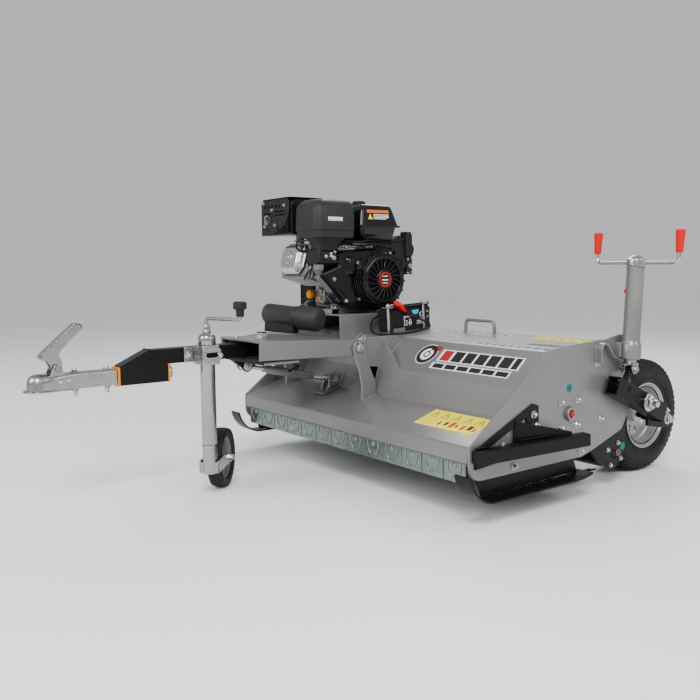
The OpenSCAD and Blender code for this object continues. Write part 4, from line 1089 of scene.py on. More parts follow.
def canister():
    base = T(-430, -10, 566) @ R(26, "Z") @ R(95, "Y")
    s = Shape(base)
    s.turn([(0, 0), (26, 0.4), (33, 3), (37, 9), (38, 16), (38, 128), (39.5, 130), (39.5, 138), (38, 140),
            (38, 150), (0, 150)], 56)
    s.piece("canister_look", "canister", "tongue", sharp=40)
    Shape(base).loft([(12, rrect(8, 66, -22, 22, 3, 3)), (16, rrect(6, 66, -24, 24, 3, 3)),
            (132, rrect(6, 61, -24, 24, 3, 3)), (136, rrect(8, 61, -22, 22, 3, 3))]).piece("canister_feet",
            "plastic", "tongue", bevel=0.8)
    s = Shape(base)
    # Cap: skirt with grip ribs and a rounded end
    seg = 168
    rows = []
    prof = [(44.5, 151.2), (46.2, 152), (46.5, 158), (46.5, 166), (45, 170), (45, 176), (45.4, 222),
            (43.8, 231), (39, 237), (31, 239.6), (0, 240)]
    for r, h in prof:
        ring = []
        for i in range(seg):
            a = 2*math.pi*i/seg
            rib = 0.9 if (170 < h < 222 and (i % 14) < 3) else 0.0
            ring.append(((r + rib)*math.cos(a), (r + rib)*math.sin(a), h))
        rows.append(ring)
    v = [p for ring in rows[:-1] for p in ring] + [(0, 0, 240)]
    f = [tuple(range(seg - 1, -1, -1))]
    for k in range(len(rows) - 2):
        for i in range(seg):
            j = (i + 1) % seg
            f.append((k*seg + i, k*seg + j, (k + 1)*seg + j, (k + 1)*seg + i))
    last = (len(rows) - 2)*seg
    f += [(last + i, last + (i + 1) % seg, len(v) - 1) for i in range(seg)]
    s.faces(v, f)
    s.piece("canister_cap_look", "canister", "canister_cap", sharp=50)


def drawbar():
    dress("drawbar", "black", bevel=2.2, seg=3, angle=24)
    s = Shape()
    s.weld([(-214, -587, 486.2), (-166, -587, 486.2)], 2.4)
    s.weld([(-165, -584, 442), (-165, -584, 486)], 1.6)
    s.weld([(-215, -584, 442), (-215, -584, 486)], 1.6)
    for x in (-214, -166):
        s.weld([(x, -676, 437), (x, -540, 437)], 2.6)
    s.weld([(-214, -682, 438), (-166, -682, 438)], 2.2)
    s.piece("drawbar_welds", "black", "drawbar", sharp=60)
    Shape().bolt((DRAW_X, -172, 497.8), UP, 20).piece("pivot_bolt", "zinc", "drawbar")
    # Orange bushes: square flanges with round corners round a collar
    s = Shape()
    for y in (-690, -528):
        s.prism("y", y, 6, rrect(DRAW_X - 29, DRAW_X + 29, SWIVEL_Z - 29, SWIVEL_Z + 29, 5, 4),
                [circle(DRAW_X, SWIVEL_Z, 15.1, 40)])
    s.pipe((DRAW_X, -685, SWIVEL_Z), "y", 20.9, 15.1, 30, 40)
    s.pipe((DRAW_X, -558, SWIVEL_Z), "y", 20.9, 15.1, 30, 40)
    s.piece("swivel_bushes_look", "orange", "drawbar", bevel=0.9)


def coupler():
    s = Shape()
    x0, z0 = DRAW_X, SWIVEL_Z
    # Pressed body: nose over the ball, swelling cheeks, and a narrower tail
    def arch(w, low, high, r, n=7):
        """Closed arch outline, open box section with a thick wall."""
        turns = [math.pi/2*i/n for i in range(n + 1)]
        out = [(x0 - w, low)] + [(x0 - w + r - r*math.cos(t), high - r + r*math.sin(t)) for t in turns]
        out += [(x0 + w - r + r*math.sin(t), high - r + r*math.cos(t)) for t in turns]
        return out + [(x0 + w, low)]
    rows = []
    for y, w, high, r in ((-916, 31.5, 27.0, 27), (-900, 33.0, 26.6, 25), (-884, 33.6, 25.0, 19),
            (-868, 32.6, 24.4, 14), (-850, 30.5, 24.2, 10), (-832, 28.6, 24.0, 7), (-800, 27.8, 24.0, 6),
            (-760, 27.6, 24.0, 6), (-694, 27.4, 24.0, 6)):
        rows.append((y, arch(w, z0 - 22, z0 + high, min(r, w - 1))))
    s.loft(rows, "y")
    # Round nose
    s.lathe((x0, SOCKET_Y, z0 - 24), "z", [(25.4, 0), (33, 0), (32.6, 6), (32.0, 20), (30.5, 31),
            (27.0, 40), (20.5, 47), (11, 50.5), (0, 51.2), (0, 38), (14, 34), (22, 24), (25.4, 14)], 56)
    # Bottom lip: flange round the nose and along both sides
    lip = []
    for i in range(25):
        t = math.pi*i/24
        lip.append((x0 - 43*math.cos(t), SOCKET_Y - 43*math.sin(t)))
    lip = lip + [(x0 + 41, -880), (x0 + 36, -842), (x0 + 34, -826), (x0 - 34, -826), (x0 - 36, -842),
            (x0 - 41, -880)]
    s.prism("z", z0 - 24, 3.6, lip, [circle(x0, SOCKET_Y, 25.5, 40)[::-1]])
    # Lever ears with a rolled top
    for x in (x0 - 27, x0 + 21):
        s.prism("x", x, 6, [(-892, z0 + 16)] + circle(*LEVER_PIN, 12, 12, 180, 0) + [(-846, z0 + 20)])
    s.pipe((x0, -700, z0), "y", 24, 15, 6, 40)
    s.rod((x0, -760, z0), "y", 15, 239, 36)
    s.lathe((x0, -521.6, z0), AXES["y"], [(15, 0), (23, 0), (24, 1.5), (24, 6), (21, 10), (14, 12.5),
            (0, 13)], 40)
    s.piece("coupler_body_look", "coupler", "coupler", bevel=0.9, angle=38)
    # Side rivets and the two bolts through the shank
    s = Shape()
    for sx in (1, -1):
        s.at(T(x0, 0, 0) @ mirror(sx))
        for y, z, r in ((-862, z0 + 4, 8.5), (-838, z0 + 6, 8.0)):
            s.lathe((30.0 if y < -850 else 28.4, y, z), "x",
                    [(0, 0), (r, 0), (r, 1.6), (r*0.8, 3.2), (0, 3.8)], 28)
    s.at()
    for y in (-812, -716):
        s.bolt((x0, y, z0 + 24), UP, 9.6)
        s.rod((x0, y, z0 - 46), "z", 5.9, 30, 18)
        s.bolt((x0, y, z0 - 24), DOWN, 9.6, 12)
    s.piece("coupler_bolts_look", "zinc", "coupler")
    # Lever: a pressed channel with a turned tip
    s = Shape()
    px, py, pz = x0, *LEVER_PIN
    blade = circle(0, 0, 11, 8, 200, 340) + [(17, -4), (18, 16), (9, 38), (13, 48), (70, 104), (81, 111),
            (80, 120), (75, 126), (60, 128), (-38, 44), (-46, 34), (-44, 28), (-24, 22)]
    for x in (px - 16, px + 12):
        s.prism("x", x, 4, [(py + a, pz + b) for a, b in blade])
    web = [(-44, 28), (-46, 34), (-38, 44), (60, 128), (75, 126), (80, 120), (81, 111), (77, 110),
            (76, 118), (72, 122), (61, 123.4), (-35, 41), (-41, 33)]
    s.prism("x", px - 16, 32, [(py + a, pz + b) for a, b in web])
    s.rod((px - 28, py, pz), "x", 5, 56, 24)
    for sx, d in ((px + 26.5, 1), (px - 26.5, -1)):
        s.bolt((sx, py, pz), (d, 0, 0), 7.5)
    s.piece("coupler_lever_look", "coupler", "coupler_lever", bevel=1.3, seg=3, angle=35)


def turnbuckle():
    rear, front = Vector(BUCKLE_REAR), Vector(BUCKLE_FRONT)
    rise = math.degrees(math.atan2(front.y - rear.y, rear.x - front.x))
    length = (front - rear).length
    base = T(TURNBUCKLE_X, rear.x, rear.y) @ R(90 - rise, "X")
    s = Shape(base)
    s.lathe((-11, 0, 0), "x", [(8.06, 0), (15.5, 0), (17.2, 2), (17.2, 20), (15.5, 22), (8.06, 22)], 36,
            ring=True)
    thread = [(8.0, 10), (8.0, 40)] + [(7.4 if i % 2 else 8.0, 40 + i*1.2) for i in range(1, 84)] + [(8,
            141), (0, 141)]
    s.turn([(0, 12)] + thread, 20)
    s.turn([(8, 14), (10.5, 15), (10.5, 22), (8, 26)], 24)
    s.piece("turnbuckle_eye_look", "zinc", "turnbuckle", slot="galvanised", sharp=40)
    s = Shape(base)
    s.turn([(8.1, 84), (11.5, 84), (12.2, 85.5), (12.2, 98), (15, 112), (15, 274), (12.2, 288),
            (12.2, 298.5), (11.5, 300), (8.1, 300)], 40, ring=True)
    s.piece("turnbuckle_tube_look", "grey", "turnbuckle_tube", sharp=40)
    s = Shape(base @ T(0, 0, 196) @ R(25, "Z"))
    for x in (-69, 69):
        s.tube([(x*0.2, 0, 0), (x, 0, 0)], 5, 16)
        s.lathe((x - 3, 0, 0), "x", [(0, 0), (6, 0.4), (6.4, 3), (6, 5.6), (0, 6)], 20)
    s.piece("turnbuckle_bar", "black", "turnbuckle_tube", slot="galvanised")
    s = Shape(base)
    s.lathe((-10, 0, length), "x", [(9.6, 0), (16.5, 0), (18, 2), (18, 18), (16.5, 20), (9.6, 20)], 36,
            ring=True)
    thread = [(7.4 if i % 2 else 8.0, 202 + i*1.2) for i in range(1, 120)]
    s.turn([(0, 200), (7.4, 200)] + thread + [(8, length - 20), (11, length - 17), (11, length - 9),
            (0, length - 9)], 20)
    s.piece("turnbuckle_fork_look", "zinc", "turnbuckle_fork", slot="galvanised", sharp=40)


def jockey():
    jx, jy = -121, -414
    s = Shape()
    # Clamp: bracket flange, block with an oval hole, two jaws and a tightening screw
    s.prism("x", -165, 8, rrect(jy - 62, jy + 62, 440, 488, 8, 4))
    s.prism("z", 436, 56, rrect(-158, -91, jy - 31, jy + 31, 7, 4), [circle(jx, jy, 24.1, 40)[::-1]])
    for z in (433.8, 489.6):
        s.prism("z", z, 4.5, rrect(-157, -90, jy - 31, jy + 31, 9, 4), [circle(jx, jy, 24.1, 40)[::-1]])
    s.prism("x", -91, 6, rrect(jy - 31, jy + 31, 446, 484, 6, 4),
            [slot_outline(jy - 20, jy + 20, 457, 472)[::-1]])
    s.piece("jockey_clamp_look", "hot_zinc", "drawbar", bevel=1.6, seg=3, angle=35)
    # Painted shade: a near-black plate inside the clamp's slot
    Shape().prism("x", -90.9, 2, slot_outline(jy - 20, jy + 20, 457, 472)).piece("clamp_slot_dark", "hole",
            "drawbar")
    s = Shape()
    s.bolt((-157, jy - 48, 464), OUT, 9.5, 8)
    s.bolt((-157, jy + 48, 464), OUT, 9.5, 5)
    s.lathe((-86, jy + 22, 464), "x", [(0, 0), (8, 0), (8, 16), (6.5, 19), (0, 20)], 24)
    s.piece("jockey_clamp_bolts", "zinc", "drawbar")
    # Outer tube with a domed collar
    Shape().lathe((jx, jy, 0), "z", [(20.5, 176), (23.4, 176), (24, 177), (24, 494.6), (27, 495.4),
            (28, 498), (28, 514), (26.5, 522), (22, 528), (16.5, 530.5), (11.1, 530.5), (11.1, 524),
            (20.5, 486)], 56, ring=True).piece("jockey_tube_look", "hot_zinc", "drawbar", sharp=36)
    # Crank: screw, boss with a pin, thin bent rod, black mushroom knob
    s = Shape(T(jx, jy, 0))
    s.rod((0, 0, 200), "z", 11, 336, 24)
    s.turn([(0, 532), (14, 532), (14, 535), (11.5, 538), (10.5, 546), (10.5, 557), (8.5, 560), (6, 562),
            (0, 562)], 36)
    s.at(T(jx, jy, 0) @ R(20, "Z"))
    s.rod((0, -12.5, 548), "y", 3, 25, 16)
    s.tube(rounded([(0, 0, 552), (0, 0, 578), (140, 0, 578), (140, 0, 600)], 14, 8), 5.6, 20)
    s.piece("jockey_crank_look", "hot_zinc", "jockey_crank", sharp=36)
    Shape(T(jx, jy, 0) @ R(20, "Z")).lathe((140, 0, 0), "z",
            [(0, 587), (10, 587), (12.5, 589), (12.5, 606), (14, 609), (20, 611), (21, 614), (21, 628),
            (19.5, 631.6), (15, 634), (0, 634.6)], 44).piece("jockey_knob", "plastic", "jockey_crank",
            sharp=44)
    Shape().lathe((jx, jy, 0), "z", [(0, 120), (20.45, 120), (20.45, 380), (12, 380), (12, 140), (0, 140)],
            40).piece("jockey_inner_look", "hot_zinc", "jockey_inner", sharp=36)
    # Fork: sleeve with a bolt, two pressed arms, axle with nuts
    base = T(jx, jy, 0) @ R(137 - 90, "Z")
    s = Shape(base)
    s.turn([(0, 80), (23, 80), (24, 81.5), (24, 174), (23, 175), (20.55, 175), (20.55, 119), (0, 119)], 48)
    # Two arms and the plate that joins them to the sleeve
    for x in (-32, 27):
        s.prism("x", x, 5, [(-14, 83), (40, 83), (128, 85)] + circle(135, 100, 15.8, 10, -60,
                60) + [(60, 125), (-14, 123)])
    s.box((-32, -14, 82.5), (64, 11, 36))
    s.piece("jockey_fork_look", "hot_zinc", "jockey_fork", bevel=1.4, angle=35)
    s = Shape(base)
    s.rod((-36, 135, 100), "x", 8, 72, 24)
    s.bolt((32, 135, 100), OUT, 11, 4)
    s.bolt((-32, 135, 100), INWARD, 11)
    s.bolt((24, 0, 103), OUT, 8)
    s.piece("jockey_fork_bolts", "zinc", "jockey_fork")
    # Wheel: tyre with grooves and blocks, grey rim
    hub = base @ T(0, 135, 100) @ AXES["x"]
    s = Shape(hub)
    half = [(68, 17), (74, 21.5), (84, 24.4), (90, 24.6), (95, 22.5), (98, 18), (99, 12.5), (97.4, 12),
            (97.4, 10), (99.6, 9.5), (99.8, 3), (98, 2.4), (98, 0)]
    prof = half + [(r, -z) for r, z in reversed(half[:-1])] + [(66, -15), (66, 15)]
    s.turn(prof, 96, ring=True)
    for k in range(40):
        for z in (1, -1):
            s.at(hub @ R(9*k + (4.5 if z > 0 else 0), "Z"))
            s.faces([(92, -2.6, 15*z), (92, 2.6, 15*z), (92, 2.6, 25*z), (92, -2.6, 25*z),
                    (99.2, -2.6, 12*z), (99.2, 2.6, 12*z), (96.4, 2.6, 23*z), (96.4, -2.6, 23*z)], BLOCK)
    s.piece("jockey_tyre", "tyre", "jockey_wheel", replaces=("jockey_wheel",), sharp=36)
    s = Shape(hub)
    half = [(8.1, 24), (17, 24), (20, 22), (21, 12), (26, 7), (48, 5.5), (58, 8), (62, 14), (66, 16.5),
            (69, 16)]
    prof = half + [(r, -z) for r, z in reversed(half)]
    s.turn(prof, 64, ring=True)
    for k in range(6):
        s.at(hub @ R(60*k, "Z"))
        for z in (5.5, -9.5):
            s.box((20, -2, z), (40, 4, 4))
    s.piece("jockey_rim", "grey_plastic", "jockey_wheel", slot="tyre", bevel=0.5, sharp=36)


tongue()
canister()
drawbar()
coupler()
turnbuckle()
jockey()


# ---------- engine ----------

TILT = 16                        # degrees the cylinder rises from level
SHROUD_X, DISC_X, BADGE_X = -291, -262, -245.2


def head_frame():
    """The cylinder's own axes: Y runs along the bore, away from the crankshaft when negative."""
    return T(0, *CRANK) @ R(-TILT, "X")


def engine_block():
    s = Shape()
    # Crankcase: rounded casting with a flange, ribs and feet
    case = [(307, 575), (307, 640)] + circle(CRANK[0], CRANK[1], 116, 16, 160, 10) + [(530, 640),
            (522, 575)]
    s.prism("x", -556, 184, case)
    ring = [(303, 571), (303, 642)] + circle(CRANK[0], CRANK[1], 120, 16, 160, 10) + [(536, 640),
            (527, 571)]
    s.prism("x", -470, 10, ring)
    for x in (-592, -366):
        s.prism("x", x, 16, [(236, 555), (520, 555), (520, 573), (500, 575), (480, 600), (290, 600),
                (256, 575), (236, 573)])
    s.box((-592, 240, 555), (242, 34, 18))
    s.box((-592, 484, 555), (242, 34, 18))
    s.rod((-620, *CRANK), "x", 40, 70, 40)
    # Cylinder barrel and head
    s.at(head_frame())
    s.box((-540, -286, -58), (170, 190, 116))
    for k in range(9):
        y = -276 + k*13.5
        s.prism("y", y, 5, rrect(-550, -360, -72, 70, 12, 4))
    s.piece("engine_block_look", "alloy", bevel=1.4, angle=35)
    # Castings at the crankcase's front: filler bosses, ribs and the governor's cover
    s = Shape()
    s.loft([(262, rrect(-488, -430, 596, 650, 12)), (272, rrect(-494, -426, 590, 656, 16)),
            (312, rrect(-498, -420, 582, 660, 18))], "y")
    s.rod((-505, 252, 628), "y", 15, 58, 32, 2)
    s.rod((-452, 256, 612), "y", 12, 20, 28, 2)
    s.rod((-448, 254, 642), "y", 9, 20, 28, 2)
    s.lathe((-505, 268, 628), "y", [(15, 0), (19, 2), (19, 8), (15, 10)], 6)
    for z in (590, 628, 656):
        s.tube([(-498, 300, z), (-420, 292, z - 4), (-372, 306, z)], 4.2, 8)
    s.tube([(-420, 300, 586), (-424, 272, 620), (-420, 300, 662)], 5, 8)
    s.prism("x", -378, 12, [(284, 668), (312, 694), (312, 575), (296, 575)])
    s.piece("crankcase_front", "alloy", bevel=1.6, angle=35)
    s = Shape()
    s.lathe((-505, 252, 628), AXES["y"] @ R(180, "X"), [(0, -2), (13, -2), (18, -1), (18.6, 4), (17.5, 13),
            (15.5, 16), (0, 17)], 10)
    s.lathe((-452, 256, 612), AXES["y"] @ R(180, "X"), [(0, -2), (8, -2), (9, 3), (8, 6), (0, 7)], 8)
    s.piece("oil_cap", "orange", bevel=1.2, angle=35)
    s = Shape()
    for x, y, z in ((-372, 322, 596), (-372, 322, 668), (-372, 500, 600)):
        s.bolt((x, y, z), OUT, 6.5)
    for x in (-560, -360):
        for y in (258, 500):
            s.bolt((x + 8, y, 574), UP, 7, 4)
    s.bolt((-438, 262, 600), FORE, 6)
    s.bolt((-478, 262, 604), FORE, 6)
    s.piece("engine_screws", "zinc")


def valve_cover():
    base = T(-455, *CRANK) @ R(-TILT, "X") @ T(0, -290, 0) @ R(90, "X")

    def octagon(k, g=0.0):
        w, h, cx, cy = 74 - g, 58 - g*0.8, 45 - g*0.6, 34 - g*0.5
        pts = [(w, cy - 4), (cx + 8, h), (-cx - 8, h), (-w, cy - 4), (-w, -cy + 4), (-cx - 8, -h),
                (cx + 8, -h), (w, -cy + 4)]
        out = []
        for i, p in enumerate(pts):
            a, b, c = Vector(pts[i - 1]), Vector(p), Vector(pts[(i + 1) % 8])
            for t in (0.16, 0.06):
                out.append(tuple(b.lerp(a, t)))
            for t in (0.06, 0.16):
                out.append(tuple(b.lerp(c, t)))
        return [(x*k, y*k) for x, y in out]
    s = Shape(base)
    s.loft([(0, octagon(1)), (6, octagon(1)), (8, octagon(1, 5)), (18, octagon(1, 8)), (25, octagon(1, 13)),
            (30, octagon(1, 20)), (33, octagon(1, 29))])
    s.lathe((0, 0, 34), "z", [(26, -1), (25, 3), (22, 4.5), (13, 4.5), (11.5, 2.5), (8, 2.5), (7, 5.5),
            (0, 6)], 40)
    s.piece("valve_cover_look", "cover", slot="galvanised", bevel=1.2, seg=3, angle=28, sharp=40)
    Shape(base).prism("z", -3, 3.2, octagon(1.03)).piece("head_gasket", "rubber")
    s = Shape(base)
    for x, y in ((60, 40), (-60, 40), (60, -40), (-60, -40)):
        s.bolt((x*0.98, y*0.9, 8), UP, 5.2)
    s.bolt((0, 0, 40), UP, 5.5)
    s.piece("valve_cover_screws", "zinc")


def fan_housing():
    cy, cz = CRANK
    # Left of the disc: a smooth pressed shroud that tapers towards the cylinder
    left = [(150, 704), (152, 714), (228, 744), (232, 784), (250, 796), (345, 803), (422, 807)]
    low = [(422, 563), (372, 564), (306, 570), (262, 590), (205, 650)]
    outline = left + circle(cy, cz, 121, 26, 80, -80)[1:-1] + low
    s = Shape()
    centre = Vector((330, 690))

    def inset(by):
        rays = [Vector(p) - centre for p in outline]
        return [tuple(centre + d*(1 - by/d.length)) for d in rays]
    s.loft([(-348, outline), (-302, outline), (-294, inset(7)), (-291, inset(16))], "x")
    s.piece("fan_housing_look", "gloss", bevel=2.0, seg=3, angle=24, sharp=50)
    # Louvred barrel between the shroud and the recoil disc
    s = Shape()
    for x, r in ((-296, 117), (-286, 114.5), (-276, 112), (-266, 109), (-257, 104)):
        s.lathe((x, cy, cz), "x", [(r - 8, 0), (r - 1, 0), (r, 1.5), (r, 4), (r - 1, 5.5), (r - 8, 5.5)],
                72, ring=True)
    s.lathe((-300, cy, cz), "x", [(0, 0), (97, 0), (97, 40), (0, 40)], 64)
    for k in range(18):
        s.at(T(-296, cy, cz) @ R(20*k + 6, "X"))
        s.box((0, -3, 95), (44, 6, 15))
    s.piece("fan_louvres", "gloss", bevel=0.8, angle=35)
    # Raised pressing on the shroud and its fixing screws
    s = Shape()
    s.loft([(-292, rrect(262, 312, 700, 776, 12)), (-284, rrect(266, 308, 704, 772, 12)),
            (-281, rrect(272, 302, 710, 766, 10))], "x")
    s.tube(rounded([(-291, 262, 600), (-291, 312, 574), (-291, 410, 566)], 20), 3.5, 8)
    s.tube(rounded([(-292, 232, 656), (-292, 286, 600), (-292, 330, 584)], 20), 2.6, 8)
    s.piece("shroud_pressings", "gloss", sharp=40)
    s = Shape()
    for y, z in ((cy - 96, cz + 66), (cy - 92, cz - 74), (cy + 90, cz + 80), (cy + 84, cz - 84), (266, 606),
            (210, 690)):
        s.bolt((SHROUD_X, y, z), OUT, 6.2)
    s.piece("shroud_screws", "zinc")


def recoil():
    cy, cz = CRANK
    s = Shape()
    # Rim, inner step and hub
    s.lathe((DISC_X, cy, cz), "x", [(80, 0), (97, 0), (97.5, 3), (97, 8), (93, 13.5), (87, 15.5),
            (82, 14.5), (80, 11)], 80, ring=True)
    s.lathe((DISC_X, cy, cz), "x", [(0, 4), (38, 4), (40, 9), (38, 15), (33, 17), (0, 17)], 56)
    for k in range(20):
        s.at(T(DISC_X, cy, cz) @ R(18*k, "X"))
        s.loft([(r, [(4, skew - 3.4), (4, skew + 3.4), (top, skew + 3), (top, skew - 3)]) for r, skew,
                top in ((36, -3, 15.5), (60, 3, 14.5), (83, 12, 12.5))])
    s.piece("recoil_cover_look", "gloss", bevel=0.9)
    # Painted shade: a near-black disc seen between the cover's ribs
    Shape().lathe((-259, cy, cz), "x", [(0, 0), (82, 0), (82, 1.5), (0, 1.5)], 64).piece("recoil_dark",
            "hole")
    # Generic badge: red ring round dark and pale bars
    Shape().lathe((BADGE_X, cy, cz), "x", [(23, 0), (29, 0), (29, 2.0), (27.5, 2.8), (24.5, 2.8),
            (23, 2.0)], 56, ring=True).piece("badge_ring", "red")
    Shape().lathe((BADGE_X, cy, cz), "x", [(0, 0), (23, 0), (23, 0.8), (0, 0.8)], 48).piece("badge_dark",
            "ink")
    s = Shape()
    for z, w, h in ((11, 13, 3.6), (-12, 14, 1.8), (-16, 10, 1.4), (-3.5, 15, 5.0)):
        s.box((-244.4, cy - w, cz + z), (0.5, 2*w, h))
    s.piece("badge_bars", "white")
    # Pull handle at the top rear of the disc, with its cord guide
    s = Shape()
    s.tube(rounded([(-270, cy + 40, cz + 92), (-256, cy + 66, cz + 88), (-254, cy + 106, cz + 62)], 18), 5,
            12)
    s.tube([(-254, cy + 96, cz + 44), (-254, cy + 104, cz + 62), (-254, cy + 100, cz + 84)], [6, 7.5, 6],
            14)
    s.lathe((-272, cy + 52, cz + 84), "x", [(0, 0), (13, 0), (13, 14), (10, 17), (0, 17)], 24)
    s.piece("pull_handle", "plastic", sharp=44)


CAP = (-352, 378, 974)
KNOB = (-352, 206)


def fuel_tank():
    s = Shape()

    def shell(z, g, d0, d1, r=12):
        return (z, rrect(-530 + g, -268 - g, 320 + d0, 513 - d1, r, 6))
    # Bowl, flange and upper shell
    s.loft([(840, rrect(-506, -292, 352, 494, 16, 6)), (845, rrect(-512, -286, 344, 500, 18, 6)),
            (866, rrect(-517, -281, 333, 506, 18, 6)), (889, rrect(-521, -277, 325, 511, 18, 6))])
    s.loft([(888.5, rrect(-535, -263, 315, 520, 14, 6)), (890, rrect(-536, -262, 314, 521, 14, 6)),
            (895, rrect(-536, -262, 314, 521, 14, 6)), (896.5, rrect(-535, -263, 315, 520, 14, 6))])
    s.loft([shell(896, 0, 0, 0), shell(903, 1, 1, 3), shell(940, 7, 8, 16), shell(964, 11, 13, 25.5),
            shell(971, 14, 17, 30), shell(975, 20, 23, 36, 10), shell(976.4, 30, 32, 46, 8)])
    s.piece("fuel_tank_look", "gloss", sharp=38)
    s = Shape()
    s.lathe(CAP, "z", [(0, 0), (26, 0), (26, 5), (25.4, 14), (22, 18.6), (0, 19.4)], 48)
    for k in range(20):
        s.at(T(*CAP) @ R(18*k, "Z"))
        s.box((24.5, -1.5, 4), (1.9, 3, 10))
    s.piece("tank_cap", "plastic", bevel=0.5)
    # Plain films on the near side of the tank
    def patch(shape, y0, y1, z0, z1):
        front, back = ([(x - 1 - (z - 903)*6/37 + lift, y, z) for y,
                z in ((y0, z0), (y1, z0), (y1, z1), (y0, z1))] for x, lift in ((-268, 0.75), (-268, 0.2)))
        shape.faces(front + back, BLOCK)
    for name, material, cells in (("tank_film_orange", "film_orange", [(358, 466, 944, 955)]),
            ("tank_film_bars", "white", [(388, 464 - 14*(k == 3), 936 - 5.4*k,
            939 - 5.4*k) for k in range(4)]), ("tank_film_mark", "yellow",
            [(362 + 2*k, 382 - 2*k, 919 + 4*k, 923 + 4*k) for k in range(5)])):
        s = Shape()
        for cell in cells:
            patch(s, *cell)
        s.piece(name, material, slot="")


def air_filter():
    def plan(g, chamfer=15):
        x0, x1, y0, y1 = -424 + g, -265 - g, 116 + g, 296 - g*0.4
        c = chamfer
        pts = [(x1, y0 + c*1.1), (x1, y1 - 10), (x1 - 8, y1), (x0 + 10, y1), (x0, y1 - 10), (x0, y0 + c),
                (x0 + c, y0), (x1 - c*1.6, y0)]
        out = []
        for i, p in enumerate(pts):
            a, b, e = Vector(pts[i - 1]), Vector(p), Vector(pts[(i + 1) % 8])
            k = min(6, (b - a).length*0.4, (e - b).length*0.4)
            q, r = b + (a - b).normalized()*k, b + (e - b).normalized()*k
            for t in (0, 0.33, 0.66, 1):
                m = q*(1 - t)**2 + b*2*t*(1 - t) + r*t*t
                out.append((m.x, m.y))
        return out
    Shape().loft([(845, plan(6)), (848, plan(4)), (872, plan(3)), (874, plan(0.4)), (878, plan(0)),
            (955, plan(2)), (970, plan(6)), (981, plan(14)), (988, plan(27)),
            (991, plan(42))]).piece("air_filter_look", "filter", sharp=26)
    s = Shape()
    s.lathe((*KNOB, 985), "z", [(0, 0), (12, 0), (12, 5), (10, 7.5), (0, 8)], 24)
    for k in range(3):
        s.at(T(*KNOB, 988) @ R(60*k, "Z"))
        s.box((-15, -2.5, 0), (30, 5, 5))
    s.piece("filter_knob", "plastic", bevel=0.6)
    # Plain pale plate with bars on the near side
    Shape().box((-267.0, 168, 908), (1.8, 66, 14)).piece("filter_plate", "white", bevel=0.3)
    s = Shape()
    s.box((-265.5, 171, 911), (0.4, 60, 1.6))
    for k in range(3):
        s.box((-266.2, 168, 900 - 4*k), (0.6, 58 - 8*k, 1.5))
    s.piece("filter_bars", "grey_plastic")
    # Intake elbow under the cover, down to the carburettor
    Shape().loft([(800, rrect(-350, -284, 146, 226, 14)), (824, rrect(-356, -280, 140, 236, 16)),
            (846, rrect(-380, -272, 130, 262, 18))]).piece("intake_elbow", "plastic", sharp=34)


def muffler():
    s = Shape()
    # Body with rolled edges, then its pressed guard
    body = [(124, 862), (118, 870), (114, 978), (120, 992), (132, 998), (262, 1003), (274, 996), (278, 985),
            (278, 878), (270, 864)]
    s.prism("x", -632, 196, body)
    s.piece("muffler_look", "black", slot="gloss_black", bevel=6, seg=4, angle=20, sharp=50)
    s = Shape()
    # Front guard plate: louvres and punched slots in real relief
    holes = [[(-620 + 26*k, 968), (-606 + 26*k, 968), (-602 + 26*k, 980),
            (-616 + 26*k, 980)] for k in range(6)]
    holes += [rrect(-622, -566, 944 - 13*k, 950 - 13*k, 2.9, 3) for k in range(2)]
    holes += [rrect(-540, -470, 950 - 13*k, 956 - 13*k, 2.9, 3) for k in range(2)]
    holes += [circle(-592, 884, 6, 14), circle(-520, 890, 9, 16)]
    guard = [(-640, 862), (-560, 862), (-470, 900), (-440, 940), (-436, 990), (-448, 1000), (-628, 1000),
            (-640, 990)]
    s.prism("y", 106, 3, guard, [h[::-1] for h in holes])
    top_holes = [[(-630 + 17*k, 130), (-622 + 17*k, 130), (-616 + 17*k, 196),
            (-624 + 17*k, 196)] for k in range(11)]
    s.prism("z", 1003, 2.6, rrect(-640, -434, 108, 274, 10, 4), [h[::-1] for h in top_holes])
    s.prism("x", -641, 3, [(106, 866), (106, 990), (116, 1004), (262, 1005), (276, 994), (276, 880),
            (262, 864)], [rrect(130, 250, 950 - 18*k, 957 - 18*k, 3.4, 3)[::-1] for k in range(4)])
    s.piece("muffler_guard", "plastic", slot="gloss_black", bevel=0.7, angle=35)
    # Painted shade: near-black sheets behind the guard's slots and louvres
    s = Shape()
    s.box((-628, 109.2, 866), (180, 2, 128))
    s.box((-626, 114, 1000.6), (180, 150, 2))
    s.piece("muffler_dark", "hole")
    # Outlet stub with its clamp, pointing forwards and outwards
    s = Shape(T(-588, 112, 925) @ R(18, "Z"))
    s.lathe((0, 0, 0), AXES["y"] @ R(180, "X"), [(11, -6), (17, -6), (17, 2), (13.5, 3), (13.5, 6),
            (11, 6)], 32, ring=True)
    s.lathe((0, 0, 0), AXES["y"] @ R(180, "X"), [(10.5, 0), (13, 0), (13, 14), (12, 15), (10.5, 14)], 32,
            ring=True)
    s.lathe((0, 0, 0), AXES["y"] @ R(180, "X"), [(0, 2), (10.5, 2), (10.5, 3), (0, 3)], 24)
    s.loft([(-4, rrect(-26, 26, -20, 18, 8)), (2, rrect(-22, 22, -17, 15, 8))], "y")
    s.piece("muffler_outlet", "grey_plastic", slot="gloss_black", bevel=0.8, sharp=40)
    s = Shape()
    for x, z in ((-616, 900), (-540, 902), (-470, 975), (-560, 962), (-622, 990)):
        s.bolt((x, 106, z), FORE, 5)
    s.piece("muffler_screws", "zinc")
    # Exhaust pipe from the cylinder head
    s = Shape()
    s.tube(rounded([(-500, 200, 800), (-505, 200, 840), (-512, 208, 872)], 16), 17, 24)
    s.lathe((-506, 204, 838), "z", [(18, 0), (27, 0), (27, 6), (18, 6)], 6, ring=True)
    s.piece("exhaust_pipe", "alloy", sharp=40)


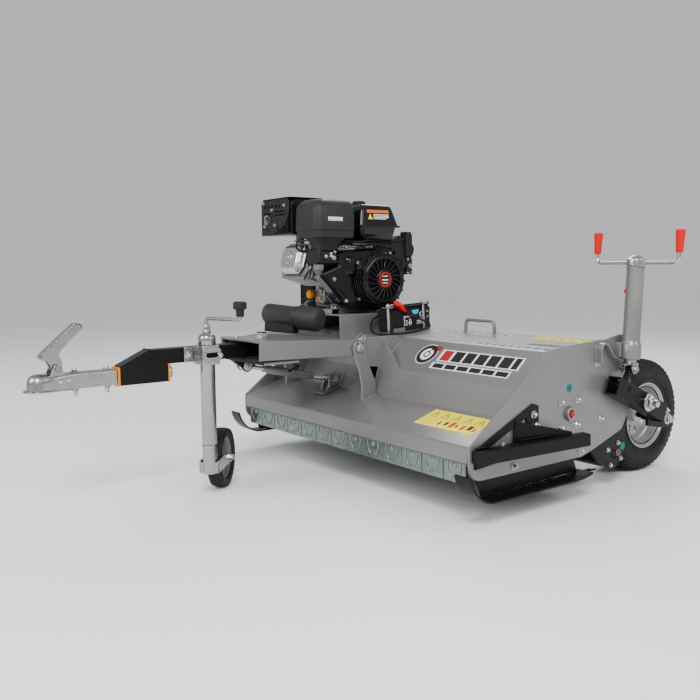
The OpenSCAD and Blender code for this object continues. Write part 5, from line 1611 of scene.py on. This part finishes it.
def carburettor():
    s = Shape()
    # Black insulator block and choke housing under the filter
    s.loft([(-372, rrect(140, 226, 744, 806, 10)), (-300, rrect(140, 226, 744, 806, 10)),
            (-292, rrect(146, 220, 750, 800, 8))], "x")
    s.loft([(-294, rrect(158, 214, 756, 796, 8)), (-282, rrect(162, 210, 760, 792, 6))], "x")
    s.box((-300, 132, 752), (14, 120, 9))
    s.piece("carburettor_look", "plastic", slot="cast_aluminium", bevel=1.4, seg=3, sharp=40)
    s = Shape()
    # Tank bracket, coil cover and wiring tray between the tank and the shroud
    s.prism("x", -512, 196, [(262, 800), (300, 812), (318, 838), (520, 838), (538, 816), (540, 796),
            (300, 792)])
    s.prism("x", -330, 22, [(330, 806), (346, 830), (420, 836), (500, 828), (530, 806), (500, 798),
            (360, 800)])
    s.box((-500, 200, 792), (190, 90, 34))
    s.prism("x", -336, 30, [(500, 796), (566, 790), (571, 812), (571, 846), (548, 862), (522, 850),
            (505, 836)])
    for y in (352, 400, 448, 492):
        s.rod((-311, y, 819), "x", 7, 8, 20)
    s.tube(smooth_path([(-306, 300, 812), (-298, 350, 826), (-300, 420, 822), (-304, 500, 812),
            (-314, 540, 790)], 8), 5.5, 12)
    s.tube(smooth_path([(-300, 262, 838), (-294, 320, 832), (-296, 400, 840), (-304, 470, 836),
            (-316, 520, 830)], 8), 4.5, 12)
    s.piece("tank_bracket", "plastic", bevel=1.4, sharp=40)
    s = Shape()
    # Sediment bowl: grey cup with a step and a drain screw
    s.lathe((-308, 150, 700), "z", [(0, 0), (6, 0), (7, 6), (13, 12), (18, 26), (20, 28), (20, 44),
            (18, 46), (0, 46)], 32)
    s.piece("sediment_bowl", "grey_plastic", slot="cast_aluminium", sharp=36)
    s = Shape()
    s.bolt((-282, 168, 776), OUT, 5.5)
    s.bolt((-282, 204, 770), OUT, 6.5, 2)
    s.bolt((-292, 214, 792), OUT, 5)
    s.bolt((-308, 150, 700), DOWN, 5)
    # Governor arm, throttle lever, rods and springs
    s.prism("z", 812, 2.2, [(-330, 218), (-322, 214), (-296, 300), (-282, 372), (-290, 376), (-306, 302)])
    s.prism("z", 806, 2.0, [(-300, 232), (-292, 228), (-272, 296), (-280, 300)])
    s.tube([(-318, 226, 816), (-300, 330, 820), (-300, 400, 828)], 1.6, 8)
    s.tube([(-306, 240, 800), (-292, 320, 806), (-296, 392, 812)], 1.4, 8)
    coil = [(-290 + 4*math.cos(t*0.9), 300 + t*1.1, 824 + 4*math.sin(t*0.9)) for t in range(60)]
    s.tube(coil, 0.8, 6)
    s.bolt((-296, 392, 812), UP, 7, 4)
    s.bolt((-284, 262, 806), UP, 6, 2)
    s.piece("governor_parts", "zinc")
    # Hoses and leads round the head
    s = Shape()
    s.tube(smooth_path([(-372, 190, 842), (-380, 150, 850), (-392, 118, 838), (-398, 112, 812),
            (-388, 126, 798), (-372, 150, 800)], 8), 4.2, 12)
    s.tube(smooth_path([(-330, 300, 838), (-318, 260, 826), (-306, 236, 812), (-300, 226, 800)], 8), 3.6,
            12)
    s.tube(smooth_path([(-284, 206, 776), (-276, 262, 790), (-276, 330, 812), (-282, 400, 820),
            (-290, 470, 812)], 8), 3.0, 10)
    s.tube(smooth_path([(-340, 160, 744), (-352, 140, 724), (-372, 132, 700), (-392, 142, 690)], 8), 3.2,
            10)
    s.piece("engine_hoses", "rubber")
    Shape().box((-281.8, 186, 774), (0.6, 9, 16)).piece("choke_mark", "white")
    Shape().box((-281.4, 188, 780), (0.6, 5, 6)).piece("choke_mark_red", "red", slot="")


def control_box():
    s = Shape()
    # Start box: two stacked housings, a side housing and a cable gland
    for z0, z1 in ((774, 876), (704, 770)):
        s.loft([(-330, rrect(572, 606, z0, z1, 5)), (-295, rrect(572, 606, z0, z1, 5)),
                (-290, rrect(576, 602, z0 + 4, z1 - 4, 4))], "x")
    s.box((-328, 575, 765), (34, 28, 14))
    s.loft([(-330, rrect(524, 573, 757, 811, 8)), (-304, rrect(524, 573, 757, 811, 8)),
            (-300, rrect(528, 569, 761, 807, 6))], "x")
    s.rod((-312, 600, 742), "y", 11, 12, 28)
    s.tube(rounded([(-306, 574, 846), (-306, 530, 838), (-318, 480, 846)], 12), 6, 12)
    s.tube(rounded([(-303, 572, 730), (-300, 556, 744), (-302, 540, 770)], 8), 5, 12)
    for z in (800, 812, 824, 836, 848):
        s.box((-291, 580, z), (2.2, 19, 4))
    s.prism("x", -330, 26, [(500, 800), (574, 792), (574, 812), (504, 836)])
    s.piece("control_box_look", "plastic", bevel=1.3, seg=3, sharp=40)
    s = Shape()
    for y, z in ((579, 710), (600, 712), (579, 764), (600, 868)):
        s.bolt((-290.5, y, z), OUT, 3.6)
    s.lathe((-290.5, 589, 738), "x", [(0, 0), (10.5, 0), (10.5, 4), (9, 6), (0, 6)], 32)
    s.box((-285, 587.5, 730), (3, 3, 16))
    s.piece("key_switch", "zinc", bevel=0.5)
    Shape().tube(smooth_path([(-318, 606, 764), (-308, 616, 786), (-302, 616, 812), (-310, 606, 834)], 8),
            4.5, 12).piece("start_leads", "rubber")


engine_block()
valve_cover()
fan_housing()
recoil()
fuel_tank()
air_filter()
muffler()
carburettor()
control_box()


# ---------- battery ----------

BATTERY_PRINT = ((122, 52, 40, 6), (122, 20, 3, 34), (130, 38, 9, 3), (132, 30, 16, 3), (148, 20, 4, 28),
        (156, 24, 3, 20), (130, 22, 9, 3), (192, 38, 20, 3), (188, 32, 32, 4), (186, 26, 36, 3),
        (186, 21, 38, 2.4), (240, 44, 8, 2.4), (242, 64, 5, 5))
LEAD_ROUTE = ((-196, 428, 587), (-174, 432, 589), (-160, 438, 580), (-158, 448, 558), (-150, 491, 538),
        (-147, 541, 524), (-143, 564, 508), (-134, 548, 497), (-116, 505, 495), (-100, 450, 491),
        (-100, 390, 487), (-124, 345, 484), (-164, 322, 483), (-196, 318, 490), (-228, 336, 514),
        (-256, 372, 532), (-259, 404, 546), (-262, 440, 561), (-280, 470, 566), (-322, 500, 572),
        (-358, 530, 602), (-360, 552, 650), (-346, 572, 690), (-322, 588, 705))


def battery():
    x0, x1, y0, y1, h = -250, -166, 58, 262, 96
    s = Shape(on_top())
    # Case with a lip, finger ribs and a stepped lid
    s.loft([(0.5, rrect(x0 + 2, x1 - 2, y0 + 2, y1 - 2, 5)), (66, rrect(x0 + 2, x1 - 2, y0 + 2, y1 - 2, 5)),
            (67, rrect(x0, x1, y0, y1, 6)), (78, rrect(x0, x1, y0, y1, 6)),
            (79, rrect(x0 + 1.5, x1 - 1.5, y0 + 1.5, y1 - 1.5, 6)),
            (84, rrect(x0 + 1.5, x1 - 1.5, y0 + 1.5, y1 - 1.5, 6)),
            (85, rrect(x0 + 5, x1 - 5, y0 + 30, y1 - 5, 6)),
            (h - 4, rrect(x0 + 5, x1 - 5, y0 + 30, y1 - 5, 6)),
            (h - 2, rrect(x0 + 8, x1 - 8, y0 + 33, y1 - 8, 5))])
    for k in range(2):
        s.box((x1 - 2.5, y0 + 16 + 34*k, 4), (2.0, 24, 58))
    for k in range(6):
        s.lathe((x0 + 34, y0 + 46 + 28*k, h - 3), "z", [(0, 0), (9, 0), (9, 2), (0, 2.4)], 24)
    s.piece("battery_look", "plastic", bevel=0.7, sharp=36)
    # Hold-down strap along the top with its rolled end
    s = Shape(on_top())
    s.prism("y", 14, 218, rrect(-180, -150, h - 0.2, h + 3, 1.4, 3))
    s.tube([(-168, 52, h + 3), (-168, 252, h + 2)], 6.4, 16)
    s.piece("battery_strap", "black", bevel=0.6)
    s = Shape()
    s.tube([(-176, 408, 598), (-170, 413, 595), (-164, 420, 589), (-160, 428, 582), (-158, 436, 575),
            (-157, 444, 567), (-157, 448, 563)], [8.5, 12.5, 13, 12, 10, 8, 5.6], 24)
    s.tube([(-178, 414, 586), (-166, 416, 588)], [9, 10], 20)
    s.piece("terminal_boot", "red", sharp=50)
    Shape(on_top()).prism("x", x1 - 0.6, 1.2, circle(181, 78, 18, 12, 180, 360)).piece("battery_mark",
            "sky")
    s = Shape(on_top())
    for y, z, w, k in BATTERY_PRINT:
        s.box((x1 - 0.6, y, z), (1.1, w, k))
    s.lathe((x1 - 0.6, 214, 58), "x", [(8, 0), (11, 0), (11, 1.1), (8, 1.1)], 28, ring=True)
    s.piece("battery_bars", "white")
    # Folded tab of the tray under the battery's front
    Shape(on_top()).box((x1 - 1, 66, 0.4), (5, 56, 15)).piece("battery_tray", "grey", bevel=0.8)
    # Lead from the battery to the start box, the same route as the CAD solid
    Shape().tube(smooth_path(LEAD_ROUTE, 6), 3.5, 14).piece("battery_leads_look", "rubber")


battery()


# ---------- floor and light ----------

def studio():
    floor = bpy.data.meshes.new("floor")
    b = bmesh.new()
    bmesh.ops.create_grid(b, x_segments=1, y_segments=1, size=14)
    b.to_mesh(floor)
    b.free()
    f = bpy.data.objects.new("floor", floor)
    bpy.context.scene.collection.objects.link(f)
    n = Nodes("floor", (0.95, 0.95, 0.952), 0.0, 0.7)
    n.color(n.blend(n.noise(3), (0.94, 0.94, 0.942), (0.96, 0.96, 0.962)))
    floor.materials.append(n.m)
    world = bpy.data.worlds.new("studio")
    world.use_nodes = True
    world.node_tree.nodes["Background"].inputs["Color"].default_value = (0.95, 0.97, 1.0, 1)
    world.node_tree.nodes["Background"].inputs["Strength"].default_value = 0.62
    bpy.context.scene.world = world
    for name, at, size, power, tint in (("key", (3.2, -2.8, 3.9), 1.7, 260, (1.0, 0.98, 0.95)),
            ("side", (3.8, 1.4, 2.6), 1.8, 60, (0.95, 0.97, 1.0)),
            ("front", (-0.6, -4.4, 2.6), 2.0, 115, (0.97, 0.98, 1.0)),
            ("back", (-2.4, 3.0, 3.6), 2.2, 110, (1.0, 1.0, 1.0))):
        lamp = bpy.data.lights.new(name, "AREA")
        lamp.size = size
        lamp.energy = power
        lamp.color = tint
        o = bpy.data.objects.new(name, lamp)
        o.location = at
        o.rotation_euler = (Vector((0, 0, 0.45)) - Vector(at)).to_track_quat("-Z", "Y").to_euler()
        bpy.context.scene.collection.objects.link(o)


studio()
